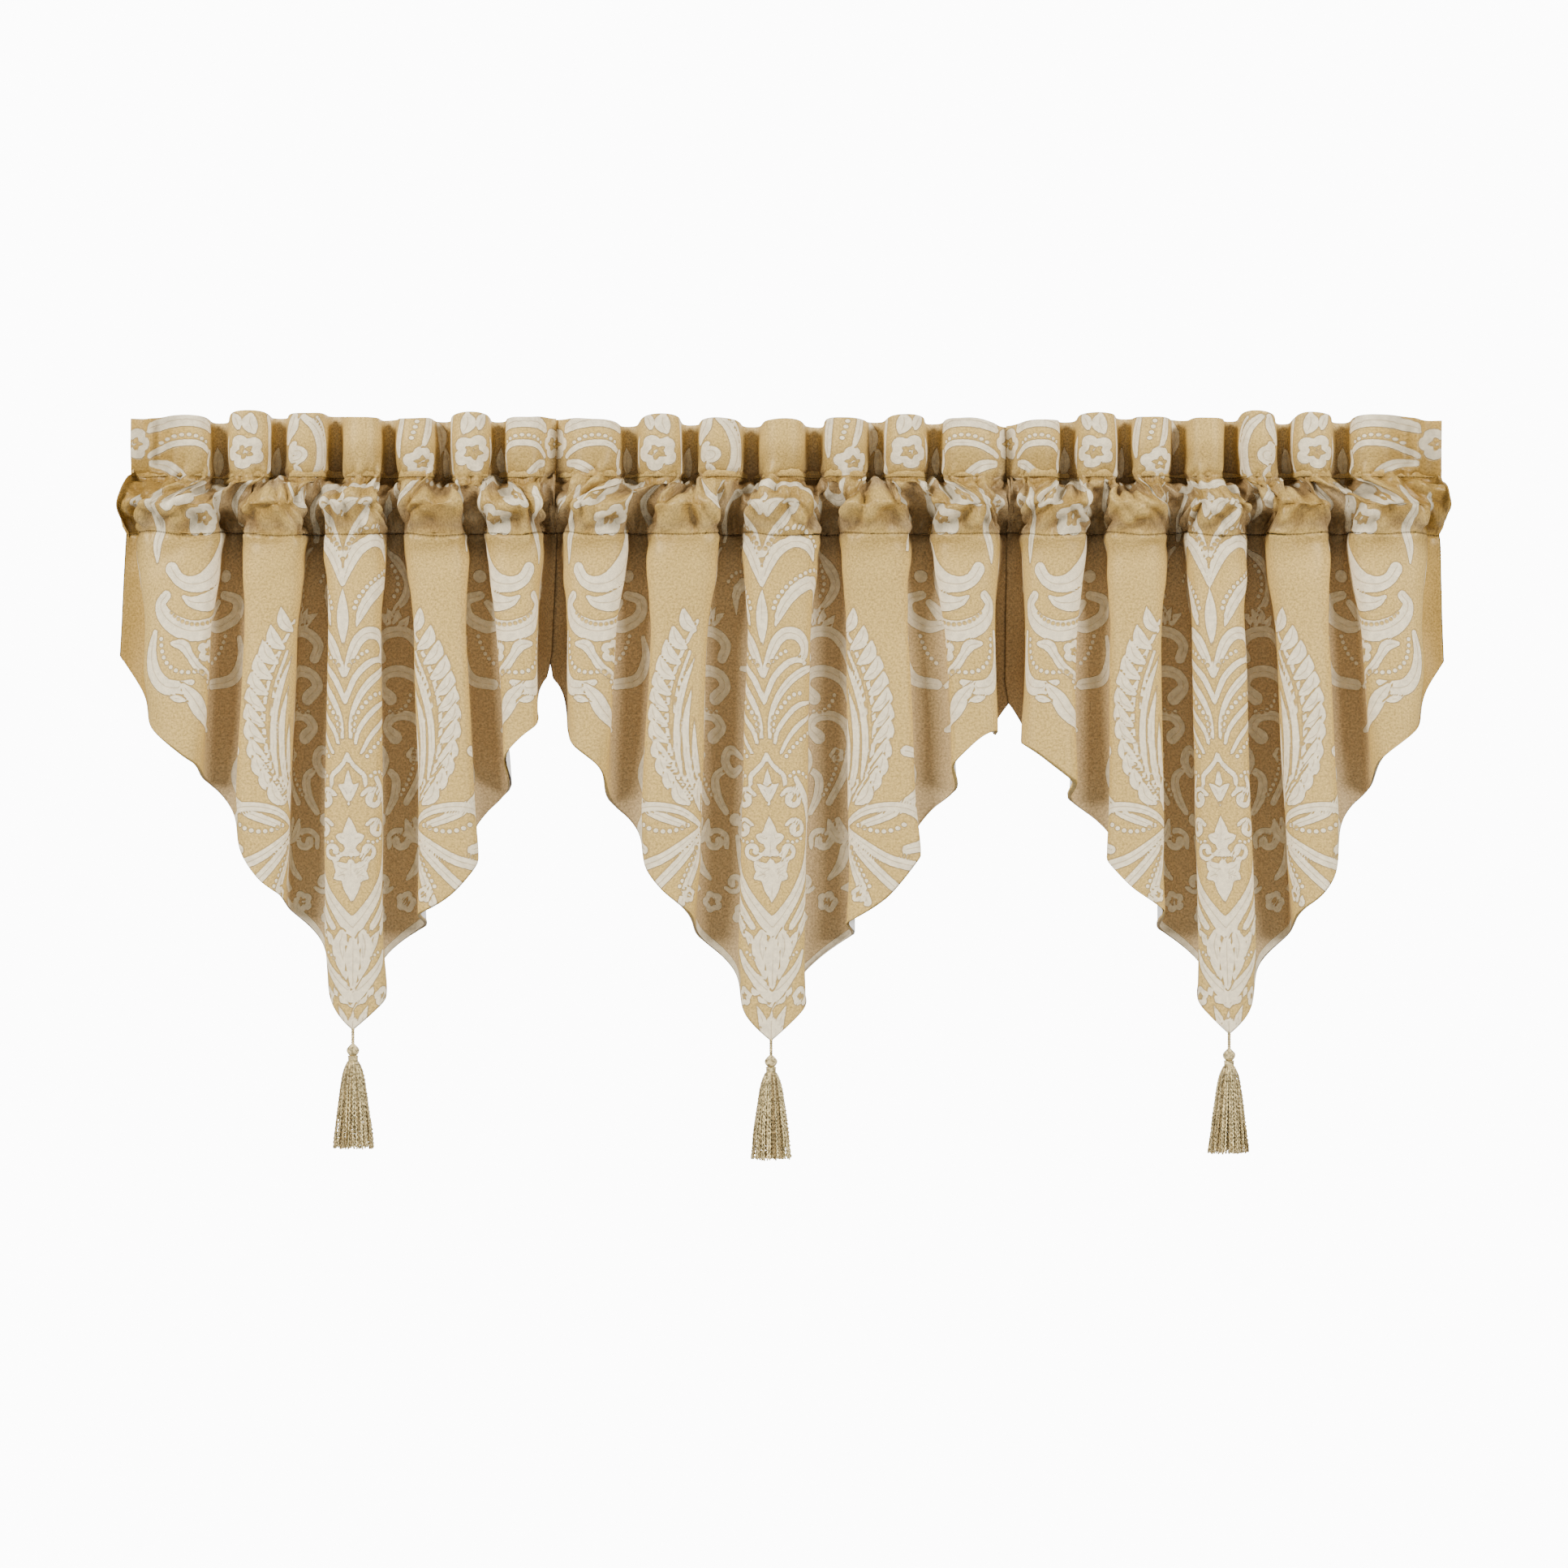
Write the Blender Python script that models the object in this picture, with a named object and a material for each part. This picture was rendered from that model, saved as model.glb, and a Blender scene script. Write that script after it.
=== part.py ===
"""Three ascot valances, gathered side by side for one rod.

Each is a pointed panel of figured satin: a strip sewn into a ruffled header over a rod pocket,
a face cloth and a white lining that hang from the pocket's lower seam, and a tassel at the tip.
Metres, +Z up, front towards -Y. The origin is on the rod's line, at the middle of the row.
"""

import math
from typing import NamedTuple

import bmesh
import bpy
import numpy as np
from mathutils import Matrix, Vector


class Bend(NamedTuple):
    """One edge, crest or hollow of a panel.

    It has a place across the flat cloth, one across the hung panel at the seam and one at the hem, and drop
    is how far the hem hangs below the seam there.
    """

    flat: float
    seam: float
    hem: float
    drop: float


class Ruffle(NamedTuple):
    """One end or crest of the header: across the hung panel, how high it stands, and the dip after it."""

    across: float
    top: float
    dip: float


class Panel(NamedTuple):
    """One valance, with how far its pocket's ends flare out.

    Bends run from its left edge to its right edge, and crests are every second one.
    """

    centre: float
    left_flare: float
    right_flare: float
    bends: tuple
    ruffles: tuple


# Cloth, before it is gathered
FLAT_WIDTH = 0.880
FACE_THICK = 0.0014
LINING_THICK = 0.0010
LAYER_GAP = 0.0006
PIECE_GAP = 0.0003

# Heights of the two sewn lines that close the rod pocket
HEADER_SEAM = 0.029
DROP_SEAM = -0.030
SEAM_LAND = 0.035
HEM_SLOPE = 0.80
EDGE_SLOPE = 1.60

# Folds
SEAM_DEPTH = 0.040
HEADER_DEPTH = 0.036
DEEPEST = 0.066
OPENS_OVER = 0.110
CREST_ROUND = 1.30
HOLLOW_ROUND_SEAM = 0.60
HOLLOW_ROUND_HEM = 1.10
HEADER_CREST_ROUND = 1.00
HEADER_HOLLOW_ROUND = 0.58
END_TURN = 0.5
CURVE_STEPS = 24

# Rod pocket at its middle: where the two layers run, and how much of the folds they keep
FRONT_LAYER = -0.0312
FRONT_KEEPS = 0.75
BACK_LAYER = 0.0340
BACK_KEEPS = 0.15
POCKET_SPREAD = 0.40
POCKET_ROUND = 0.7
END_FLARE = 0.0085
FLARE_REACH = 0.060
HEADER_PUFF = 0.0004
HEADER_FOLD = 0.0022

# Mesh
BEND_COLUMNS = (0.0, 0.17, 0.36, 0.64, 0.83)
RUFFLE_COLUMNS = (0.0, 0.31, 0.69)
DROP_ROWS = (0.0, 0.12, 0.34, 0.66, 1.0)
LINING_REACH = 0.96

PANELS = {
    "left": Panel(
        centre=-0.450,
        left_flare=END_FLARE,
        right_flare=0.0,
        bends=(
            Bend(flat=-0.440, seam=-0.2428, hem=-0.2503, drop=0.1274),
            Bend(flat=-0.318, seam=-0.1719, hem=-0.1781, drop=0.2321),
            Bend(flat=-0.252, seam=-0.1279, hem=-0.1478, drop=0.2670),
            Bend(flat=-0.183, seam=-0.0812, hem=-0.0949, drop=0.3665),
            Bend(flat=-0.092, seam=-0.0416, hem=-0.0538, drop=0.4087),
            Bend(flat=0.000, seam=0.0015, hem=-0.0004, drop=0.5188),
            Bend(flat=0.092, seam=0.0406, hem=0.0501, drop=0.4263),
            Bend(flat=0.183, seam=0.0882, hem=0.0996, drop=0.3790),
            Bend(flat=0.252, seam=0.1259, hem=0.1446, drop=0.2861),
            Bend(flat=0.318, seam=0.1689, hem=0.1793, drop=0.2107),
            Bend(flat=0.440, seam=0.2061, hem=0.1988, drop=0.1495),
        ),
        ruffles=(
            Ruffle(across=-0.2360, top=0.0901, dip=0.0000),
            Ruffle(across=-0.1741, top=0.0928, dip=0.0080),
            Ruffle(across=-0.1103, top=0.0983, dip=0.0060),
            Ruffle(across=-0.0495, top=0.0958, dip=0.0000),
            Ruffle(across=0.0083, top=0.0913, dip=0.0010),
            Ruffle(across=0.0632, top=0.0908, dip=0.0050),
            Ruffle(across=0.1210, top=0.0963, dip=0.0060),
            Ruffle(across=0.1778, top=0.0923, dip=0.0000),
            Ruffle(across=0.2051, top=0.0906, dip=0.0000),
        ),
    ),
    "centre": Panel(
        centre=-0.002,
        left_flare=0.0,
        right_flare=0.0,
        bends=(
            Bend(flat=-0.440, seam=-0.2393, hem=-0.2416, drop=0.1505),
            Bend(flat=-0.318, seam=-0.1963, hem=-0.2070, drop=0.2311),
            Bend(flat=-0.252, seam=-0.1515, hem=-0.1678, drop=0.2921),
            Bend(flat=-0.183, seam=-0.1056, hem=-0.1199, drop=0.3785),
            Bend(flat=-0.092, seam=-0.0542, hem=-0.0708, drop=0.4378),
            Bend(flat=0.000, seam=0.0000, hem=-0.0124, drop=0.5307),
            Bend(flat=0.092, seam=0.0492, hem=0.0442, drop=0.4428),
            Bend(flat=0.183, seam=0.0967, hem=0.1060, drop=0.3824),
            Bend(flat=0.252, seam=0.1435, hem=0.1643, drop=0.2841),
            Bend(flat=0.318, seam=0.1894, hem=0.2026, drop=0.2182),
            Bend(flat=0.440, seam=0.2368, hem=0.2361, drop=0.1786),
        ),
        ruffles=(
            Ruffle(across=-0.2389, top=0.0901, dip=0.0000),
            Ruffle(across=-0.1944, top=0.0894, dip=0.0095),
            Ruffle(across=-0.1276, top=0.0948, dip=0.0070),
            Ruffle(across=-0.0658, top=0.0899, dip=0.0065),
            Ruffle(across=0.0000, top=0.0899, dip=0.0080),
            Ruffle(across=0.0648, top=0.0903, dip=0.0055),
            Ruffle(across=0.1286, top=0.0943, dip=0.0070),
            Ruffle(across=0.1884, top=0.0908, dip=0.0000),
            Ruffle(across=0.2364, top=0.0816, dip=0.0000),
        ),
    ),
    "right": Panel(
        centre=0.450,
        left_flare=0.0,
        right_flare=END_FLARE,
        bends=(
            Bend(flat=-0.440, seam=-0.2122, hem=-0.2139, drop=0.1766),
            Bend(flat=-0.318, seam=-0.1679, hem=-0.1783, drop=0.2351),
            Bend(flat=-0.252, seam=-0.1229, hem=-0.1295, drop=0.2962),
            Bend(flat=-0.183, seam=-0.0832, hem=-0.0837, drop=0.3740),
            Bend(flat=-0.092, seam=-0.0396, hem=-0.0361, drop=0.4298),
            Bend(flat=0.000, seam=-0.0015, hem=0.0133, drop=0.5238),
            Bend(flat=0.092, seam=0.0436, hem=0.0649, drop=0.4343),
            Bend(flat=0.183, seam=0.0822, hem=0.1049, drop=0.3824),
            Bend(flat=0.252, seam=0.1299, hem=0.1503, drop=0.2811),
            Bend(flat=0.318, seam=0.1709, hem=0.1840, drop=0.2277),
            Bend(flat=0.440, seam=0.2388, hem=0.2442, drop=0.1334),
        ),
        ruffles=(
            Ruffle(across=-0.2126, top=0.0826, dip=0.0000),
            Ruffle(across=-0.1838, top=0.0889, dip=0.0040),
            Ruffle(across=-0.1230, top=0.0963, dip=0.0040),
            Ruffle(across=-0.0662, top=0.0914, dip=0.0020),
            Ruffle(across=-0.0093, top=0.0908, dip=0.0060),
            Ruffle(across=0.0445, top=0.0983, dip=0.0120),
            Ruffle(across=0.1013, top=0.0963, dip=0.0075),
            Ruffle(across=0.1642, top=0.0943, dip=0.0000),
            Ruffle(across=0.2390, top=0.0886, dip=0.0000),
        ),
    ),
}

# Heading strip, from its front hem up, over the top and down to its back hem. The share runs from the
# drop's seam to the header's seam in the pocket, and from the header's seam to the top in the header.
HEADING_ROWS = (
    ("pocket", 0.0, 1),
    ("pocket", SEAM_LAND, 1),
    ("pocket", 0.22, 1),
    ("pocket", 0.55, 1),
    ("pocket", 0.88, 1),
    ("header", 0.0, 1),
    ("header", 0.45, 1),
    ("header", 1.0, 1),
    ("fold", 1.0, 0),
    ("header", 1.0, -1),
    ("header", 0.0, -1),
    ("pocket", 0.88, -1),
    ("pocket", 0.22, -1),
    ("pocket", SEAM_LAND, -1),
    ("pocket", 0.0, -1),
)

# Tassel, down from the tip of the cloth
CORD_RADIUS = 0.0011
CORD_TURN = 0.0052
CORD_LONG = 0.0130
CORD_SIDES = 4
CORD_STEPS = 12
KNOB_RADIUS = 0.0060
KNOB_TALL = 0.0140
NECK_RADIUS = 0.0052
NECK_TALL = 0.0065
SKIRT_TOP_RADIUS = 0.0064
SKIRT_LONG = 0.0905
TASSEL_SIDES = 12
LOCK_RINGS = ((0.0064, 0.0042, 0.0193, 0.0), (0.0042, 0.0020, 0.0115, 0.5))
LOCK_GAP = 0.00016
LOCK_ROWS = (0.18, 0.55, 1.0)
LOCK_WIDE = 0.0048
LOCK_DEEP = 0.0034

# Finishes: red, green, blue, roughness
SATIN_GOLD = (0.50, 0.36, 0.20, 0.42)
LINING_WHITE = (0.66, 0.63, 0.58, 0.85)
SILK_GOLD = (0.52, 0.42, 0.27, 0.38)


def clear_scene():
    """Removes whatever the scene holds."""
    for old in list(bpy.data.objects):
        bpy.data.objects.remove(old)


def finish_of(name, values):
    """A plain cloth material."""
    material = bpy.data.materials.new(name)
    material.use_nodes = True
    shader = material.node_tree.nodes["Principled BSDF"]
    shader.inputs["Base Color"].default_value = (*values[:3], 1.0)
    shader.inputs["Roughness"].default_value = values[3]
    shader.inputs["Metallic"].default_value = 0.0
    return material


def smooth(share):
    """Eases a share from 0 to 1."""
    share = np.clip(share, 0.0, 1.0)
    return share * share * (3.0 - 2.0 * share)


def bend_curve(t, dx, dy, reach_a, reach_b):
    """Points of the curve from one bend to the next, which leaves and arrives along the row."""
    one = 1.0 - t
    x = 3 * one * one * t * reach_a + 3 * one * t * t * (dx - reach_b) + t**3 * dx
    y = dy * (3 * t * t - 2 * t**3)
    return x, y


def curve_length(dx, dy, reach_a, reach_b):
    """Length of that curve."""
    t = np.linspace(0.0, 1.0, CURVE_STEPS + 1)
    x, y = bend_curve(t, dx, dy, reach_a, reach_b)
    return float(np.hypot(np.diff(x), np.diff(y)).sum())


def fold_depth(cloth, dx):
    """How deep a fold is that takes up this much cloth in this much width, at the hem."""
    low, high = 0.010, DEEPEST
    for _ in range(20):
        middle = (low + high) / 2
        if curve_length(dx, middle, CREST_ROUND * dx, HOLLOW_ROUND_HEM * dx) < cloth:
            low = middle
        else:
            high = middle
    return low


def is_crest(index):
    """Crests are every second bend, after the edge."""
    return index % 2 == 1


def hem_depths(panel):
    """How far each bend stands from the rod's line at the hem: crests to the front, hollows to the back."""
    bends = panel.bends
    spans = [
        fold_depth(b.flat - a.flat, b.hem - a.hem) for a, b in zip(bends, bends[1:])
    ]
    depths = []
    for index in range(len(bends)):
        beside = spans[max(index - 1, 0) : index + 1]
        half = sum(beside) / len(beside) / 2
        depths.append(-half if is_crest(index) else half)
    return np.array(depths)


def hung_section(flat, stops, across, depth, crest_round, hollow_round):
    """Where points of the flat cloth lie in plan, and which way their front faces.

    stops are the bends' places on the flat cloth; across and depth hold a value for each point and bend.
    """
    last = len(stops) - 2
    k = np.clip(np.searchsorted(stops, flat, side="right") - 1, 0, last)
    row = np.arange(len(flat))
    cloth = stops[k + 1] - stops[k]
    share = (flat - stops[k]) / cloth
    x0, x1 = across[row, k], across[row, k + 1]
    y0, y1 = depth[row, k], depth[row, k + 1]
    dx, dy = (x1 - x0)[:, None], (y1 - y0)[:, None]
    starts_high = (k % 2 == 1)[:, None]
    hollow = hollow_round[:, None]
    reach_a = dx * np.where(starts_high, crest_round, hollow)
    reach_b = dx * np.where(starts_high, hollow, crest_round)
    t = np.linspace(0.0, 1.0, CURVE_STEPS + 1)[None, :]
    x, y = bend_curve(t, dx, dy, reach_a, reach_b)
    long = np.cumsum(np.hypot(np.diff(x, axis=1), np.diff(y, axis=1)), axis=1)
    long = np.concatenate([np.zeros((len(flat), 1)), long], axis=1)
    spare = cloth - long[:, -1]
    wanted = np.clip(share * cloth - spare * smooth(share), 0.0, long[:, -1])
    j = np.clip((long < wanted[:, None]).sum(axis=1) - 1, 0, CURVE_STEPS - 1)
    part = (wanted - long[row, j]) / np.maximum(long[row, j + 1] - long[row, j], 1e-9)
    at_x = x0 + x[row, j] + part * (x[row, j + 1] - x[row, j])
    at_y = y0 + y[row, j] + part * (y[row, j + 1] - y[row, j])
    return at_x, at_y


def facing(x, y):
    """Front normals in plan of one row of points, whose ends turn a little towards the rod's line."""
    along_x, along_y = np.gradient(x), np.gradient(y)
    along_y[0] *= END_TURN
    along_y[-1] *= END_TURN
    size = np.hypot(along_x, along_y)
    return along_y / size, -along_x / size


def drop_length(panel, flat):
    """How far the face hangs below the seam across the flat cloth.

    The hem runs down towards the middle of the panel at HEM_SLOPE on every crest and hollow and at EDGE_SLOPE
    on its edges, and makes up the rest on the sides of the folds.
    """
    bends = panel.bends
    stops = np.array([b.flat for b in bends])
    drops = np.array([b.drop for b in bends])
    k = np.clip(np.searchsorted(stops, flat, side="right") - 1, 0, len(stops) - 2)
    cloth = stops[k + 1] - stops[k]
    t = (flat - stops[k]) / cloth
    way = np.where(stops[k + 1] <= 0, cloth, -cloth)
    from_edge = np.where(k == 0, EDGE_SLOPE, HEM_SLOPE)
    to_edge = np.where(k == len(stops) - 2, EDGE_SLOPE, HEM_SLOPE)
    rise = drops[k] + (drops[k + 1] - drops[k]) * smooth(t)
    return rise + way * t * (1 - t) * (from_edge * (1 - t) - to_edge * t)


def drop_section(panel, flat, share):
    """Plan of the hanging cloth at a share of the way from the seam to the hem."""
    bends = panel.bends
    stops = np.array([b.flat for b in bends])
    seam = np.array([b.seam for b in bends])
    hem = np.array([b.hem for b in bends])
    crest = np.array([is_crest(i) for i in range(len(bends))])
    seam_depth = np.where(crest, -SEAM_DEPTH / 2, SEAM_DEPTH / 2)
    down = share * drop_length(panel, flat)
    opened = smooth(down / OPENS_OVER)
    across = seam + share[:, None] * (hem - seam)
    depth = seam_depth + opened[:, None] * (hem_depths(panel) - seam_depth)
    hollow = HOLLOW_ROUND_SEAM + opened * (HOLLOW_ROUND_HEM - HOLLOW_ROUND_SEAM)
    x, y = hung_section(flat, stops, across, depth, CREST_ROUND, hollow)
    return panel.centre + x, y


def header_stops(panel):
    """The header's ends, crests and the hollows between: flat place, hung place, height, and whether a crest."""
    first, *crests, last = panel.ruffles
    half, count = FLAT_WIDTH / 2, len(crests)
    stops = [(-half, first.across, first.top, False)]
    for i, (ruffle, after) in enumerate(zip(crests, [*crests[1:], last])):
        place = (i + 0.5) * FLAT_WIDTH / count - half
        stops.append((place, ruffle.across, ruffle.top, True))
        low = (ruffle.top + after.top) / 2 - ruffle.dip
        middle = (ruffle.across + after.across) / 2
        stops.append((place + FLAT_WIDTH / count / 2, middle, low, False))
    stops[-1] = (half, last.across, last.top, False)
    return stops


def header_section(panel, flat):
    """Plan of the ruffled header, and how high it stands."""
    stops, across, tops, crest = (np.array(v) for v in zip(*header_stops(panel)))
    depth = np.where(crest, -HEADER_DEPTH / 2, HEADER_DEPTH / 2)
    depth[[0, -1]] = HEADER_DEPTH / 4
    row = np.ones((len(flat), 1))
    x, y = hung_section(
        flat,
        stops,
        row * across,
        row * depth,
        HEADER_CREST_ROUND,
        HEADER_HOLLOW_ROUND * row[:, 0],
    )
    k = np.clip(np.searchsorted(stops, flat, side="right") - 1, 0, len(stops) - 2)
    ease = smooth((flat - stops[k]) / (stops[k + 1] - stops[k]))
    return panel.centre + x, y, tops[k] + ease * (tops[k + 1] - tops[k])


def heading_row(panel, flat, zone, share, side):
    """Points of the heading strip along one row, in front of the rod or behind it."""
    top_x, top_y, top = header_section(panel, flat)
    low_x, low_y = drop_section(panel, flat, np.zeros(len(flat)))
    apart = (FACE_THICK + LAYER_GAP) / 2
    if zone == "pocket":
        land = SEAM_LAND if share <= SEAM_LAND else share
        mix = smooth((land - SEAM_LAND) / (1 - SEAM_LAND))
        x = low_x + mix * (top_x - low_x)
        y = low_y + mix * (top_y - low_y)
        middle = 2 * (land - SEAM_LAND) / (1 - SEAM_LAND) - 1
        opened = max(0.0, 1 - middle**2) ** POCKET_ROUND
        layer, keeps = (
            (FRONT_LAYER, FRONT_KEEPS) if side > 0 else (BACK_LAYER, BACK_KEEPS)
        )
        normal_x, normal_y = facing(x, y)
        x = x + side * apart * normal_x
        y = y + side * apart * normal_y
        y = y + opened * (layer + keeps * y - y)
        spread = np.linspace(x[0], x[-1], len(x))
        x = x + opened * POCKET_SPREAD * (spread - x)
        for end, flare in ((-1, panel.left_flare), (1, panel.right_flare)):
            near = smooth(1 - (FLAT_WIDTH / 2 - end * flat) / FLARE_REACH)
            x = x + end * opened * flare * near
        low = DROP_SEAM + PIECE_GAP / 2
        z = np.full(len(flat), low + share * (HEADER_SEAM - low))
        return x, y, z
    apart = apart + HEADER_PUFF * math.sin(math.pi * min(share, 0.8))
    normal_x, normal_y = facing(top_x, top_y)
    z = HEADER_SEAM + share * (top - HEADER_SEAM)
    if zone == "header":
        z = z - share * HEADER_FOLD
    return top_x + side * apart * normal_x, top_y + side * apart * normal_y, z


def hung_sheet(name, flat, rows, thick, material):
    """A flat grid of cloth, hung by moving its points to the given rows, with an even thickness."""
    mesh = bpy.data.meshes.new(name)
    sheet = bmesh.new()
    bmesh.ops.create_grid(
        sheet, x_segments=len(flat) - 1, y_segments=len(rows) - 1, size=0.5
    )
    for vertex in sheet.verts:
        column = round((vertex.co.x + 0.5) * (len(flat) - 1))
        line = round((vertex.co.y + 0.5) * (len(rows) - 1))
        vertex.co = Vector([float(values[column]) for values in rows[line]])
    bmesh.ops.triangulate(sheet, faces=sheet.faces[:])
    sheet.to_mesh(mesh)
    sheet.free()
    hung = bpy.data.objects.new(name, mesh)
    bpy.context.scene.collection.objects.link(hung)
    wall = hung.modifiers.new("thickness", "SOLIDIFY")
    wall.thickness = thick
    wall.offset = 0.0
    mesh.materials.append(material)
    mesh.shade_smooth()
    return hung


def columns(stops, shares):
    """Places across the flat cloth: at these shares of the way from each stop to the next."""
    spans = [a + (b - a) * np.array(shares) for a, b in zip(stops, stops[1:])]
    return np.concatenate([*spans, [stops[-1]]])


def make_heading(name, panel, material):
    """The strip that is folded over at the top: a ruffled header above the rod pocket."""
    half = FLAT_WIDTH / 2
    stops = np.linspace(-half, half, 2 * len(panel.ruffles) - 3)
    flat = columns(stops, RUFFLE_COLUMNS)
    rows = [heading_row(panel, flat, *row) for row in HEADING_ROWS]
    return hung_sheet(name, flat, rows[::-1], FACE_THICK, material)


def make_layer(name, panel, offset, thick, reach, material):
    """One layer of the hanging cloth, in front of the fold's own line by offset.

    Its hems stop at reach, as a share of the last row and column of the face's own grid.
    """
    flat = columns([b.flat for b in panel.bends], BEND_COLUMNS)
    rows = []
    for share in DROP_ROWS:
        x, y = drop_section(panel, flat, np.full(len(flat), share))
        normal_x, normal_y = facing(x, y)
        z = DROP_SEAM - PIECE_GAP / 2 - share * drop_length(panel, flat)
        rows.append((x + offset * normal_x, y + offset * normal_y, z))
    grid = np.array(rows)
    grid[-1] = grid[-2] + reach * (grid[-1] - grid[-2])
    grid[:, :, 0] = grid[:, :, 1] + reach * (grid[:, :, 0] - grid[:, :, 1])
    grid[:, :, -1] = grid[:, :, -2] + reach * (grid[:, :, -1] - grid[:, :, -2])
    return hung_sheet(name, flat, grid[::-1], thick, material)


def tip_of(panel):
    """Where the face cloth's point hangs: across, depth and height."""
    flat = columns([b.flat for b in panel.bends], BEND_COLUMNS)
    x, y = drop_section(panel, flat, np.ones(len(flat)))
    middle, middle_bend = len(flat) // 2, len(panel.bends) // 2
    return Vector((x[middle], y[middle], DROP_SEAM - panel.bends[middle_bend].drop))


def make_cord(name, top, material):
    """The tassel's short hanger: a two-ply twist, as one solid with two round lobes."""
    mesh = bpy.data.meshes.new(name)
    cord = bmesh.new()
    rings = []
    for step in range(CORD_STEPS + 1):
        turn = 2 * math.pi * step / CORD_STEPS * CORD_LONG / CORD_TURN
        ring = []
        for side in range(2 * CORD_SIDES):
            angle = 2 * math.pi * side / (2 * CORD_SIDES)
            reach = CORD_RADIUS * (1.25 + 0.40 * math.cos(2 * angle))
            place = (
                reach * math.cos(angle + turn),
                reach * math.sin(angle + turn),
                -CORD_LONG * step / CORD_STEPS,
            )
            ring.append(cord.verts.new(Vector(place)))
        rings.append(ring)
    for above, below in zip(rings, rings[1:]):
        for i in range(len(above)):
            j = (i + 1) % len(above)
            cord.faces.new((above[i], below[i], below[j], above[j]))
    cord.faces.new(rings[0])
    cord.faces.new(rings[-1][::-1])
    bmesh.ops.recalc_face_normals(cord, faces=cord.faces[:])
    cord.to_mesh(mesh)
    cord.free()
    hanger = bpy.data.objects.new(name, mesh)
    hanger.location = top
    bpy.context.scene.collection.objects.link(hanger)
    mesh.materials.append(material)
    mesh.shade_smooth()
    return hanger


def head_profile():
    """Radius and height down the tassel's knob and neck, to the rim that carries the skirt."""
    profile = []
    for step in range(1, 5):
        angle = math.pi * step / 5
        drop = KNOB_TALL * (1 - math.cos(angle)) / 2
        profile.append((KNOB_RADIUS * math.sin(angle) ** 0.7, -drop))
    profile.append((NECK_RADIUS, -KNOB_TALL))
    profile.append((NECK_RADIUS, -KNOB_TALL - NECK_TALL * 0.85))
    profile.append((SKIRT_TOP_RADIUS, -KNOB_TALL - NECK_TALL))
    return profile


def make_tassel(name, top, material):
    """Knob, neck and skirt as one solid: each lock is drawn out of a cell of the head's underside."""
    mesh = bpy.data.meshes.new(name)
    tassel = bmesh.new()
    base = -KNOB_TALL - NECK_TALL
    line = [(0.0005, 0.0), *head_profile()]
    line += [(inner, base) for _, inner, _, _ in LOCK_RINGS]
    points = [tassel.verts.new((radius, 0.0, z)) for radius, z in line]
    edges = [tassel.edges.new(pair) for pair in zip(points, points[1:])]
    bmesh.ops.spin(
        tassel,
        geom=points + edges,
        axis=(0, 0, 1),
        cent=(0, 0, 0),
        angle=2 * math.pi,
        steps=TASSEL_SIDES,
        use_merge=True,
    )
    bmesh.ops.remove_doubles(tassel, verts=tassel.verts[:], dist=1e-5)
    bmesh.ops.holes_fill(tassel, edges=tassel.edges[:], sides=TASSEL_SIDES)
    bmesh.ops.recalc_face_normals(tassel, faces=tassel.faces[:])
    for outer, inner, spread, phase in LOCK_RINGS:
        draw_locks(tassel, base, (outer + inner) / 2, spread, phase)
    tassel.to_mesh(mesh)
    tassel.free()
    hung = bpy.data.objects.new(name, mesh)
    hung.location = top
    bpy.context.scene.collection.objects.link(hung)
    mesh.materials.append(material)
    return hung


def draw_locks(tassel, base, ring, spread, phase):
    """Draws a ring of underside cells down into the skirt's locks."""
    near = 0.0004
    cells = []
    for face in tassel.faces:
        middle = face.calc_center_median()
        flat = abs(middle.z - base) < near / 4 and abs(face.normal.z) > 0.99
        if flat and len(face.verts) == 4 and abs(middle.xy.length - ring) < near:
            cells.append(face)
    bmesh.ops.inset_individual(tassel, faces=cells, thickness=LOCK_GAP)
    for number, face in enumerate(cells):
        middle = face.calc_center_median()
        step = math.pi / TASSEL_SIDES
        angle = math.atan2(middle.y, middle.x)
        long = SKIRT_LONG * (1 - 0.025 * math.sin(2.4 * number + 9 * phase) ** 2)
        for share in LOCK_ROWS:
            face = bmesh.ops.extrude_discrete_faces(tassel, faces=[face])["faces"][0]
            turned = angle + phase * step * 2 * smooth(share / LOCK_ROWS[1])
            reach = ring + (spread - ring) * share**0.7
            grown = share**0.5
            size = (
                0.0011 + (LOCK_DEEP - 0.0011) * grown,
                0.0014 + (LOCK_WIDE * spread / 0.018 - 0.0014) * grown,
            )
            place_lock_end(face, turned, reach, base - long * share, size)


def place_lock_end(face, angle, reach, height, size):
    """Moves a lock's end face to its place, as a rectangle across the given direction."""
    around = Matrix.Rotation(float(angle), 3, "Z")
    middle = face.calc_center_median()
    for vertex in face.verts:
        local = vertex.co - middle
        outward = local.dot(Vector((middle.x, middle.y, 0)).normalized())
        sideways = local.dot(Vector((-middle.y, middle.x, 0)).normalized())
        corner = Vector(
            (
                float(reach) + math.copysign(size[0] / 2, outward),
                math.copysign(size[1] / 2, sideways),
                height,
            )
        )
        vertex.co = around @ corner


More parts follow.
